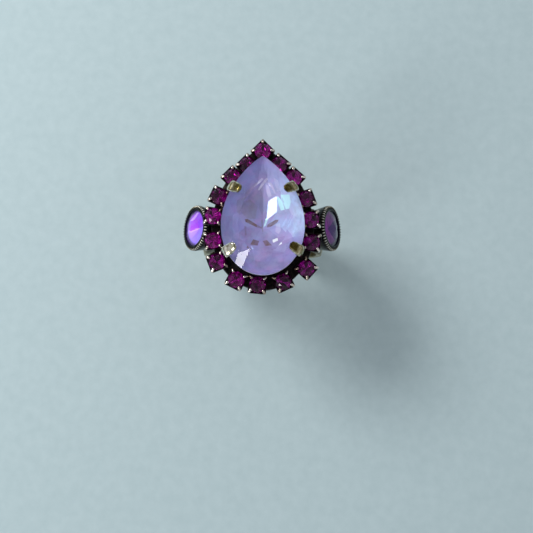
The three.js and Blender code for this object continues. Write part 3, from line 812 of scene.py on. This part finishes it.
def gallery_share():
    """The share of the outline that the stone fills at the top of the gallery ring."""
    outer_level = min(corner.z for corner in pavilion_corners()[-PEAR_FACETS:])
    up = (GALLERY_MIDDLE + GALLERY_HEIGHT / 2 - outer_level) / (GIRDLE_BOTTOM - outer_level)
    return lerp(OUTER_RING_SHARE, 1, min(max(up, 0), 1))


def basket_ring(share, offset, bottom, height):
    """A closed pear ring of rounded section."""
    rings = []
    for turn in turns(BASKET_STEPS):
        ring = []
        for a in turns(BASKET_SIDES):
            c, s = math.cos(a), math.sin(a)
            x = offset + (math.copysign(abs(c) ** BASKET_SQUARENESS, c) + 1) * BASKET_WALL / 2
            z = bottom + (math.copysign(abs(s) ** BASKET_SQUARENESS, s) + 1) * height / 2
            ring.append(Vector((*pear_point(turn, share, x), z)))
        rings.append(ring)
    return loft(rings, closed=True)


def claw_spine(turn):
    """The middle line of a claw, its half width and half thickness along it, and the way across."""
    edge = pear_point(turn)
    ahead = pear_point(turn + math.radians(1))
    across = Vector((*(ahead - edge), 0)).normalized()
    outward = Vector((across.y, -across.x, 0))
    half = CLAW_THICKNESS / 2
    clear = half + CLAW_GAP
    foot = pear_point(turn, BASKET_FOOT_SHARE, -BASKET_WALL / 2)
    gallery = pear_point(turn, gallery_share(), GALLERY_CLEARANCE + BASKET_WALL / 2)
    knee_level = lerp(GALLERY_MIDDLE, GIRDLE_BOTTOM, KNEE_LEVEL_SHARE)
    knee = Vector((*gallery.lerp(edge, KNEE_LEVEL_SHARE), knee_level))
    spread = clear * math.hypot(1, (edge - gallery).length / (GIRDLE_BOTTOM - GALLERY_MIDDLE))
    slope = STAR_SWELL_SHARE * PEAR_CROWN / ((1 - TABLE_SHARE) * PEAR_WIDTH / 2)
    lift = clear * math.hypot(1, slope) - CLAW_SETTLING

    def beside(out, z):
        return Vector((*edge, z)) + outward * out

    def over(inward):
        return beside(-inward, GIRDLE_TOP + slope * inward + lift)

    points = [Vector((*foot, SETTING_FOOT)), Vector((*gallery, GALLERY_MIDDLE)), knee + outward * spread]
    points += [beside(clear, GIRDLE_BOTTOM - half / 2), beside(clear, GIRDLE_TOP)]
    points += [beside(clear / 2, GIRDLE_TOP + clear), over(half)]
    points += [over(CLAW_REACH * share) for share in CLAW_REACH_SHARES]
    narrow, wide = CLAW_FOOT_WIDTH / 2, CLAW_WIDTH / 2
    widths = [narrow, narrow, lerp(narrow, wide, CLAW_KNEE_SHARE)]
    widths += [wide * share for share in CLAW_WIDTH_SHARES]
    sizes = [(width, half * share) for width, share in zip(widths, CLAW_THICKNESS_SHARES)]
    return points, sizes, across


def make_basket():
    """The pear's setting: two rings and four claws, each polished its own way."""
    node = ["center_setting"]
    foot = basket_ring(BASKET_FOOT_SHARE, -BASKET_WALL, SETTING_FOOT, BASE_RING_HEIGHT)
    gallery_foot = GALLERY_MIDDLE - GALLERY_HEIGHT / 2
    gallery = basket_ring(gallery_share(), GALLERY_CLEARANCE, gallery_foot, GALLERY_HEIGHT)
    for name, ring in (("foot", foot), ("gallery", gallery)):
        piece = new_piece(f"basket_{name}_ring", *ring, [claw_brass], "setting_brass", node, BAR_SHARP)
        set_wear(piece, lambda p: BASKET_WEAR)
    claws = zip(CLAW_TURN_SHARES, CLAW_POLISH_SHARES)
    for number, (share, polish) in enumerate(claws, 1):
        points, sizes, across = claw_spine(2 * math.pi * share)
        rings = strip(spline(points, sizes, CLAW_STEPS), across, CLAW_SIDES, CLAW_ROUNDNESS)
        for ring in rings[:CLAW_STEPS]:
            for p in ring:
                p.z = max(p.z, SETTING_FOOT)
        claw = new_piece(f"claw_{number}", *loft(rings), [claw_brass], "setting_brass", node, BAR_SHARP)

        def wear_at(p, tip=points[-1], across=across, polish=polish):
            rise = smoothstep(p.z, *CLAW_RISE_SPAN)
            side = smoothstep(abs((p - tip).dot(across)), *CLAW_SIDE_SPAN)
            fold = smoothstep((p - tip).xy.length, *CLAW_FOLD_SPAN)
            worn = max(side, CLAW_FOLD_SHARE * fold)
            return CLAW_FOOT_WEAR + rise * lerp(polish, CLAW_EDGE_WEAR, worn)

        set_wear(claw, wear_at)


# Stones


def round_corners(count, phase, radius, z):
    """Evenly spread corners on a circle at a level."""
    return [polar(radius, turn, z) for turn in turns(count, phase)]


def make_stone(
    name, corners, looks, slot, node, shade_at, place=None, marks=(), sharp=STONE_SHARP,
):
    """A cut stone: the hull of its corners, with looks for its front, its back and its girdle.

    A stone with two looks has the front's on its girdle. Each mark on the back, a painted highlight,
    reflection or shade, is the face layer that it fills, its strength and its outline.
    """
    work = bmesh.new()
    for corner in corners:
        work.verts.new(corner)
    bmesh.ops.convex_hull(work, input=work.verts)
    loose = [v for v in work.verts if not v.link_faces]
    bmesh.ops.delete(work, geom=loose, context="VERTS")
    flat = math.radians(FLAT_DEGREES)
    bmesh.ops.dissolve_limit(work, angle_limit=flat, verts=work.verts, edges=work.edges)
    bmesh.ops.recalc_face_normals(work, faces=work.faces)
    tone = work.faces.layers.float.new("facet")
    for face in work.faces:
        face[tone] = shade_at(face.calc_center_median())
    for _, _, outline in marks:
        cut_outline(work, outline)
    layers = {"facet": [face[tone] for face in work.faces]}
    middles = [face.calc_center_median() for face in work.faces]
    for kind in sorted({mark[0] for mark in marks}):
        own = [mark for mark in marks if mark[0] == kind]
        layers[kind] = [
            max((strength for _, strength, outline in own if inside(middle, outline)), default=0)
            for middle in middles
        ]
    levels = [face.normal.z for face in work.faces]
    points = [v.co.copy() for v in work.verts]
    faces = [[v.index for v in face.verts] for face in work.faces]
    work.free()
    stone = new_piece(name, points, faces, looks, slot, [node], sharp=sharp, place=place)
    front, back = 0, 1
    girdle = 2 if len(looks) > 2 else front
    slots = [back if z < -BACK_TILT else girdle if z < BACK_TILT else front for z in levels]
    stone.data.polygons.foreach_set("material_index", slots)
    for kind, values in layers.items():
        layer = stone.data.attributes.new(kind, "FLOAT", "FACE")
        layer.data.foreach_set("value", values)
    return stone


def cut_outline(work, outline):
    """Splits the back facets along the sides of an outline seen from above."""
    low = [min(p[k] for p in outline) for k in (0, 1)]
    high = [max(p[k] for p in outline) for k in (0, 1)]

    def meets(face):
        spans = [[v.co[k] for v in face.verts] for k in (0, 1)]
        return all(min(span) < high[k] and max(span) > low[k] for k, span in enumerate(spans))

    for a, b in zip(outline, [*outline[1:], outline[0]]):
        across = Vector((b[1] - a[1], a[0] - b[0], 0)).normalized()
        near = [face for face in work.faces if face.normal.z < -BACK_TILT and meets(face)]
        parts = {*near, *(edge for face in near for edge in face.edges)}
        parts |= {vert for face in near for vert in face.verts}
        bmesh.ops.bisect_plane(
            work, geom=list(parts), plane_co=Vector((*a, 0)), plane_no=across, dist=MERGE_DISTANCE,
        )


def inside(point, outline):
    """Whether a place lies within an outline seen from above."""
    odd = False
    for a, b in zip(outline, [*outline[1:], outline[0]]):
        if (a[1] > point.y) != (b[1] > point.y):
            cross = a[0] + (b[0] - a[0]) * (point.y - a[1]) / (b[1] - a[1])
            odd ^= point.x < cross
    return odd


# Painted shade, reflections and highlights on the pear's coated back, with outlines seen from above: grey
# shade, brown reflections of the claws, and pale, cyan and white highlights
PEAR_PAINTED_LIGHT = (
    ("smoke", 0.5, ((-3.3, 2.2), (-1.9, 2.6), (-0.8, 1.6), (-1.1, -0.3), (-2.4, -0.3), (-3.3, 0.6))),
    ("smoke", 0.35, ((-0.35, 4.4), (0, 4.9), (0.25, 1.2), (-0.1, 0.2), (-0.55, 1.2))),
    ("stain", 1, ((-2.75, -0.43), (-2.30, -0.36), (-0.92, -1.16), (-0.92, -1.6), (-2.6, -0.85))),
    ("stain", 0.5, ((-0.92, -1.16), (-0.15, -1.55), (-0.15, -1.8), (-0.92, -1.6))),
    ("stain", 0.9, ((0.62, -1.60), (0.72, -1.15), (1.95, -0.48), (2.42, -0.50), (2.18, -0.95), (1.25, -1.5))),
    ("stain", 0.9, ((-1.45, -3.5), (-0.55, -3.75), (-0.8, -4.5), (-1.9, -4.35))),
    ("stain", 0.9, ((0, -3.75), (0.6, -3.6), (1.4, -4.45), (0.4, -4.55))),
    ("sheen", 0.5, ((-0.75, 4.1), (-0.55, 4.05), (0.45, 5.3), (0.3, 5.6), (-0.2, 5.1))),
    ("sheen", 0.35, ((0.55, 4.9), (0.85, 4.7), (1.35, 3.2), (0.9, 2.9), (0.6, 3.6))),
    ("sheen", 0.25, ((1.3, 5.6), (2.0, 5.2), (2.3, 3.6), (1.7, 3.5), (1.4, 4.4))),
    ("sheen", 0.3, ((2.0, -1.2), (2.6, -1.0), (2.75, -2.2), (2.4, -2.7), (1.9, -2.3))),
    ("stain", 0.4, ((-2.8, -1.5), (-2.5, -1.5), (-2.45, -2.9), (-2.7, -2.95))),
    ("smoke", 0.8, ((-0.24, -0.5), (-0.02, -0.4), (0.08, -2.2), (-0.1, -2.3))),
    ("sea", 0.8, ((0.12, -1.5), (0.42, -1.3), (0.85, -0.3), (0.42, -0.2))),
    ("sea", 1, ((2.15, 2.95), (3.6, 3.1), (3.7, 1.9), (3.3, 1), (2.75, 0.9), (2.35, 1.9))),
    ("bare", 1, ((1.45, -3.6), (2.22, -3.3), (2.3, -3.72), (1.58, -4.05))),
)


# Tones of the pear's back, which are painted light and shade: what each adds, and the spans across and
# along it comes in over. The painted glow, a cool bright reflection, is on the right, the painted rim light
# and high light on the left, the painted ridge shade beside the keel with a tone for each side, and the
# painted low shade under the middle.
PEAR_TONE = 0.34
PAINTED_GLOW = (0.60, (-1.0, 4.5), (-5.0, -1.0))
PAINTED_RIM_LIGHT = (0.12, (3.8, 6.0))
PAINTED_RIDGE_SHADE = ((-0.15, 0.05), (1, 3.5), (0, 4.0))
PAINTED_LOW_SHADE = (-0.17, (2.5, 5.0), (1, 3.5))
PAINTED_HIGH_LIGHT = (0.14, (0.5, 2.0), (1.5, 4.0))
JITTER = (0.13, 0.08)
SECTOR_SEEDS = 31


def pear_shade(centre):
    """Painted reflection and shade, cool and bright to the right of the middle, with steps from facet to
    facet.
    """
    x, y = centre.xy
    sector = int((math.atan2(x, y - CULET_Y) / math.pi + 1) * PEAR_FACETS)
    depth = smoothstep(centre.z, CULET_LEVEL, GIRDLE_BOTTOM)
    jitter = random.Random(sector * SECTOR_SEEDS + round(centre.z * 2)).random() - 0.5
    tone = PEAR_TONE + lerp(*JITTER, depth) * jitter
    tone += PAINTED_GLOW[0] * smoothstep(x, *PAINTED_GLOW[1]) * smoothstep(y, *PAINTED_GLOW[2])
    tone += PAINTED_RIM_LIGHT[0] * smoothstep(-x, *PAINTED_RIM_LIGHT[1])
    tone += PAINTED_RIDGE_SHADE[0][x >= 0] * (1 - smoothstep(abs(x), *PAINTED_RIDGE_SHADE[1])) * smoothstep(y, *PAINTED_RIDGE_SHADE[2])
    tone += PAINTED_LOW_SHADE[0] * (1 - smoothstep(abs(x), *PAINTED_LOW_SHADE[1])) * smoothstep(-y, *PAINTED_LOW_SHADE[2])
    return tone + PAINTED_HIGH_LIGHT[0] * smoothstep(-x, *PAINTED_HIGH_LIGHT[1]) * smoothstep(y, *PAINTED_HIGH_LIGHT[2])


def make_pear():
    star = STAR_SWELL_SHARE * PEAR_CROWN * (1 - STAR_SHARE) / (1 - TABLE_SHARE)
    corners = [
        *pear_corners(PEAR_FACETS, 0, TABLE_SHARE, GIRDLE_TOP + PEAR_CROWN),
        *pear_corners(PEAR_FACETS, 0.5, STAR_SHARE, GIRDLE_TOP + star),
        *pear_corners(PEAR_STEPS, 0, 1, GIRDLE_TOP),
        *pear_corners(PEAR_STEPS, 0, 1, GIRDLE_BOTTOM),
        *pavilion_corners(),
    ]
    make_stone(
        "pear_stone", corners, [lavender_glass, lavender_back, ground_glass], "lavender_crystal",
        "center_stone", pear_shade, marks=PEAR_PAINTED_LIGHT, sharp=PEAR_SHARP,
    )


def chaton_corners():
    """Corners of a small round stone whose girdle's top is at the origin."""
    star = CHATON_SWELL_SHARE * CHATON_CROWN * (1 - CHATON_STAR_SHARE) / (1 - CHATON_TABLE_SHARE)
    out, down = CHATON_BREAK_SHARES
    return [
        *round_corners(CHATON_FACETS, 0, CHATON_RADIUS * CHATON_TABLE_SHARE, CHATON_CROWN),
        *round_corners(CHATON_FACETS, 0.5, CHATON_RADIUS * CHATON_STAR_SHARE, star),
        *round_corners(CHATON_STEPS, 0, CHATON_RADIUS, 0),
        *round_corners(CHATON_STEPS, 0, CHATON_RADIUS, -CHATON_GIRDLE),
        *round_corners(CHATON_FACETS, 0.5, CHATON_RADIUS * out, -CHATON_GIRDLE - CHATON_PAVILION * down),
        Vector((0, 0, -CHATON_GIRDLE - CHATON_PAVILION)),
    ]


# Halo


def rounded_square(side, z, squareness):
    """A ring that is round at a squareness of 2 and squarer above it."""
    ring = []
    for turn in turns(CUP_STEPS):
        c, s = abs(math.cos(turn)), abs(math.sin(turn))
        ring.append(polar((c ** squareness + s ** squareness) ** (-1 / squareness) * side / 2, turn, z))
    return ring


def cup_place(number):
    """The middle of a cup and its turn, from the solids in the frame."""
    low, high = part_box(f"halo_stone_{number:02d}")
    middle = (low + high) / 2
    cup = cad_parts[f"halo_cup_{number:02d}"]
    far = max((v.co - middle for v in cup.data.vertices), key=lambda d: d.xy.length)
    return Vector((*middle.xy, 0)) / MM, math.atan2(far.y, far.x) - math.pi / 4


def prong_rings(turn):
    """A prong that runs up the outside of a cup's corner and ends in a small bead."""
    outward = polar(1, turn, 0)
    across = UP.cross(outward)
    corner = math.sqrt(0.5) * CUP_SIDE - PRONG_INSET

    def at(distance, z):
        return outward * distance + UP * z

    foot_out, foot_up = PRONG_FOOT
    points = [at(corner * CUP_FOOT_SHARE + foot_out, foot_up)]
    points += [at(corner + out, CUP_HEIGHT + up) for out, up in PRONG_CORNER]
    points += [at(CHATON_RADIUS + out, CUP_HEIGHT + PRONG_RISE + up) for out, up in PRONG_BEAD]
    return strip(spline(points, PRONG_SIZES, PRONG_STEPS), across, PRONG_SIDES, PRONG_ROUNDNESS)


def cup_shell():
    """Rings of a square cup from its foot up the outside and down the round hollow."""
    foot = CUP_SIDE * CUP_FOOT_SHARE
    sides = [(foot - CUP_FOOT_BEVEL, 0, CUP_SQUARENESS), (foot, CUP_FOOT_BEVEL / 2, CUP_SQUARENESS)]
    sides += [(CUP_SIDE - less, CUP_HEIGHT - down, CUP_SQUARENESS) for less, down in CUP_TOP]
    sides += [(2 * (CHATON_RADIUS + out), CUP_HEIGHT - down, power) for out, down, power in CUP_MOUTH]
    for share, up in zip(CUP_HOLLOW_SHARES, CUP_HOLLOW_RISES):
        sides.append((2 * CHATON_RADIUS * share, CUP_FLOOR + up, ROUND))
    return loft([rounded_square(*side) for side in sides])


def make_cup(number, shell, prongs, inward, place):
    """One cup with its four prongs, which are dull on the side that faces the pear."""
    node = [f"halo_cup_{number:02d}"]
    rim = SETTING_FOOT + CUP_HEIGHT
    cup = new_piece(f"cup_{number:02d}", *shell, [cup_metal], "cup_metal", node, CUP_SHARP, place)
    set_wear(cup, lambda p: CUP_RIM_WEAR * smoothstep(p.z, rim - CUP_RIM_DEPTH, rim))
    points, faces, polish = [], [], []
    for turn, (some_points, some_faces) in prongs.items():
        facing = inward.dot(polar(1, turn, 0).xy)
        level = random.uniform(*(INNER_PRONG_WEAR if facing > FACING_PEAR else OUTER_PRONG_WEAR))
        faces += [[k + len(points) for k in face] for face in some_faces]
        points += some_points
        polish += [level] * len(some_points)
    claws = new_piece(
        f"prongs_{number:02d}", points, faces, [cup_metal], "cup_metal", node, BAR_SHARP, place,
    )
    levels = iter(polish)
    set_wear(claws, lambda p: next(levels) * smoothstep(p.z - rim, *PRONG_SPAN))


def chaton_spark():
    """How bright one facet of a small stone is."""
    return CHATON_SPARK * random.random() ** CHATON_SPARK_POWER


def make_halo():
    """The cups with their prongs and stones, each at its own place and turn."""
    shell = cup_shell()
    prongs = {turn: loft(prong_rings(turn)) for turn in turns(PRONGS, 0.5)}
    for number in range(1, HALO_CUPS + 1):
        middle, turn = cup_place(number)
        spin = Quaternion(UP, turn)

        def place(p, spin=spin, middle=middle):
            return spin @ p + middle + UP * SETTING_FOOT

        inward = spin.inverted() @ (Vector((0, CULET_Y, 0)) - middle).normalized()
        make_cup(number, shell, prongs, inward.xy, place)
        cast = random.random()
        make_stone(
            f"chaton_{number:02d}", chaton_corners(), [fuchsia_glass, fuchsia_back],
            "fuchsia_crystal", f"halo_stone_{number:02d}",
            lambda centre, cast=cast: CHATON_CAST * cast + chaton_spark(),
            place=lambda p, q=place: q(p + UP * CUP_HEIGHT),
        )


# Side stones, with painted glints on their coated backs


RIVOLI_PAINTED_GLINTS = {
    "left": (
        ("sheen", 0.9, ((-1.5, 1.2), (-0.9, 1.1), (0.7, 2.2), (0.4, 2.5))),
        ("sheen", 0.5, ((-1.9, 0.1), (-1.75, -0.15), (0.3, -0.1), (0.3, 0.05))),
    ),
    "right": (),
}


def rivoli_shade(name, centre):
    """The painted light and shade of each sector of a side stone, counted from the right."""
    turn = math.atan2(centre.y, centre.x) % (2 * math.pi)
    return RIVOLI_PAINTED_LIGHT_SHARES[name][int(turn / (2 * math.pi) * RIVOLI_FACETS)]


def bezel_rings(lip):
    """Rings of a bezel from its foot up the wall, over the notched lip and down the inside."""
    foot = BEZEL_RADIUS * BEZEL_FOOT_SHARE
    slope = RIVOLI_SWELL_SHARE * RIVOLI_CROWN / RIVOLI_RADIUS
    rise = slope * BEZEL_LIP_REACH + STONE_GAP / 2
    inner = RIVOLI_RADIUS - BEZEL_LIP_REACH
    inside_wall = RIVOLI_RADIUS + STONE_GAP
    profile = [(foot - BEZEL_BEVEL, 0, 0), (foot, BEZEL_BEVEL, 0)]
    profile += [(BEZEL_RADIUS, lip + up, cut) for up, cut in TOOTH_WALL]
    profile += [(BEZEL_RADIUS - inset, BEZEL_HEIGHT - down, cut) for inset, down, cut in TOOTH_TOP]
    profile += [(inner + out, BEZEL_HEIGHT - down, 0) for out, down in LIP_EDGE]
    profile += [(inner, lip + rise, 0), (inside_wall, lip, 0), (inside_wall, BEZEL_SEAT, 0)]
    profile += [(foot - BEZEL_WALL, BEZEL_FLOOR, 0)]
    rings = []
    for radius, z, cut in profile:
        ring = []
        for turn in turns(BEZEL_TEETH * STEPS_PER_TOOTH):
            notch = BEZEL_NOTCH * cut * (0.5 - 0.5 * math.cos(BEZEL_TEETH * turn)) ** NOTCH_POWER
            ring.append(polar(radius - notch, turn, z - notch))
        rings.append(ring)
    return rings


def rivoli_corners():
    """Corners of a side stone, pointed in front and behind, whose girdle's bottom is at the origin."""
    level = RIVOLI_SWELL_SHARE * RIVOLI_CROWN * (1 - RIVOLI_INNER_SHARE)
    out, down = RIVOLI_BREAK_SHARES
    return [
        Vector((0, 0, RIVOLI_GIRDLE + RIVOLI_CROWN)),
        *round_corners(RIVOLI_FACETS, 0.5, RIVOLI_RADIUS * RIVOLI_INNER_SHARE, RIVOLI_GIRDLE + level),
        *round_corners(RIVOLI_STEPS, 0, RIVOLI_RADIUS, RIVOLI_GIRDLE),
        *round_corners(RIVOLI_STEPS, 0, RIVOLI_RADIUS, 0),
        *round_corners(RIVOLI_FACETS, 0, RIVOLI_RADIUS * out, -RIVOLI_PAVILION * down),
        Vector((0, 0, -RIVOLI_PAVILION)),
    ]


def make_bezel(name, seat, facing):
    """A bezel and its stone, which darkens in painted shade towards a rim set off from its middle."""
    turn = UP.rotation_difference(facing)

    def place(p):
        return turn @ p + seat + facing * SOLDER_GAP

    lip = BEZEL_HEIGHT - BEZEL_LIP
    rings, node = loft(bezel_rings(lip)), [f"side_bezel_{name}"]
    bezel = new_piece(f"bezel_{name}", *rings, [bezel_metal], "bezel_metal", node, HOOP_SHARP, place)
    back = turn.inverted()

    def wear_at(p):
        q = back @ (p - seat - facing * SOLDER_GAP)
        out = math.hypot(q.x, q.y)
        # Painted glints, with wear: the crests of the teeth go near white
        crest = (0.5 + 0.5 * math.cos(BEZEL_TEETH * math.atan2(q.y, q.x))) ** CREST_POWER
        tick_glints = smoothstep(out - BEZEL_RADIUS, *(-inset for inset in TICK_INSETS))
        tick_glints *= crest * smoothstep(q.z, lip - TICK_DEPTH, lip)
        wall = BEZEL_WALL_WEAR * smoothstep(lip - q.z, *BEZEL_WALL_SPAN)
        return max(tick_glints, wall if out > RIVOLI_RADIUS + STONE_GAP else 0)

    set_wear(bezel, wear_at)
    stone = make_stone(
        f"rivoli_{name}", rivoli_corners(), [violet_glass, violet_back], "violet_crystal",
        f"side_stone_{name}", lambda centre: rivoli_shade(name, centre),
        place=lambda p: place(p + UP * (BEZEL_SEAT + STONE_GAP / 2)), marks=RIVOLI_PAINTED_GLINTS[name],
    )
    # Painted shade: the rim layer grows away from a lit core shifted towards the middle of the ring
    core = Vector((math.copysign(RIVOLI_CORE_SHIFT, -facing.x), 0))
    set_points(stone, "rim", lambda p: ((back @ (p - seat)).xy - core).length / RIVOLI_RADIUS)


make_band()
make_plate()
make_basket()
make_pear()
make_halo()
for side_name, (seat, facing) in SEATS.items():
    make_bezel(side_name, seat, facing)


# Floor, light and camera


def make_floor():
    """A wide, pale, slightly mottled floor under the ring."""
    n = Nodes("pale_floor")
    stops = list(zip(NOISE_SPAN, FLOOR_COLOURS))
    n.link(n.ramp(n.noise(size_mm=1.6, detail=6), stops), n.shader.inputs["Base Color"])
    n.shader.inputs["Roughness"].default_value = 0.75
    mesh = bpy.data.meshes.new("floor")
    corners = [Vector((x * FLOOR_HALF, y * FLOOR_HALF, FLOOR_LEVEL)) * MM for x, y in SQUARE]
    mesh.from_pydata(corners, [], [(0, 1, 2, 3)])
    mesh.materials.append(n.material)
    add_object("floor", mesh)


def make_world():
    """A soft room that is brightest over the horizon."""
    world = bpy.data.worlds.new("room")
    world.use_nodes = True
    tree = world.node_tree
    back = tree.nodes["Background"]
    add, link = tree.nodes.new, tree.links.new
    place, split, ramp = add("ShaderNodeTexCoord"), add("ShaderNodeSeparateXYZ"), add("ShaderNodeValToRGB")
    link(place.outputs["Generated"], split.inputs[0])
    link(split.outputs["Z"], ramp.inputs["Fac"])
    fill_ramp(ramp.color_ramp, ROOM_STOPS)
    link(ramp.outputs["Color"], back.inputs["Color"])
    back.inputs["Strength"].default_value = ROOM_STRENGTH
    bpy.context.scene.world = world


def add_lamp(name, place, colour, aim_z, size, power):
    """A flat lamp, with its power in watts, that looks at a level over the middle."""
    light = bpy.data.lights.new(name, "AREA")
    light.shape = "RECTANGLE"
    light.size, light.size_y = size[0] * MM, size[1] * MM
    light.energy = power
    light.color = colour
    lamp = add_object(name, light)
    lamp.location = Vector(place) * MM
    lamp.rotation_mode = "QUATERNION"
    lamp.rotation_quaternion = (UP * aim_z - Vector(place)).to_track_quat("-Z", "Y")


def make_camera():
    """The view of the photograph: almost overhead, leaning back over the round end."""
    tilt = math.radians(CAMERA_TILT_DEGREES)
    seen_x, seen_y = CENTRE_SEEN_AT
    seen = Vector((seen_x - IMAGE_SIZE / 2, IMAGE_SIZE / 2 - seen_y, -FOCAL_LENGTH)).normalized()
    back = Vector((0, -math.sin(tilt), math.cos(tilt)))
    upright = back.to_track_quat("Z", "Y")
    data = bpy.data.cameras.new("camera")
    data.sensor_width = SENSOR_WIDTH
    data.lens = SENSOR_WIDTH * FOCAL_LENGTH / IMAGE_SIZE
    data.clip_start, data.clip_end = CAMERA_LIMITS
    camera = add_object("camera", data)
    camera.location = (CAMERA_TARGET + back * CAMERA_DISTANCE) * MM
    camera.rotation_mode = "QUATERNION"
    camera.rotation_quaternion = upright @ seen.rotation_difference(-UP)
    bpy.context.scene.camera = camera


make_floor()
make_world()
add_lamp("window", (-230, 170, 260), WINDOW_COLOUR, aim_z=5, size=(170, 130), power=1)
add_lamp("window_low", (-256, -224, 230), WINDOW_COLOUR, aim_z=12, size=(84, 84), power=0.25)
add_lamp("glint", (-264, -98, 302), (0.80, 1, 0.95), aim_z=14, size=(46, 46), power=0.055)
make_camera()
bpy.context.scene.view_settings.view_transform = "Standard"
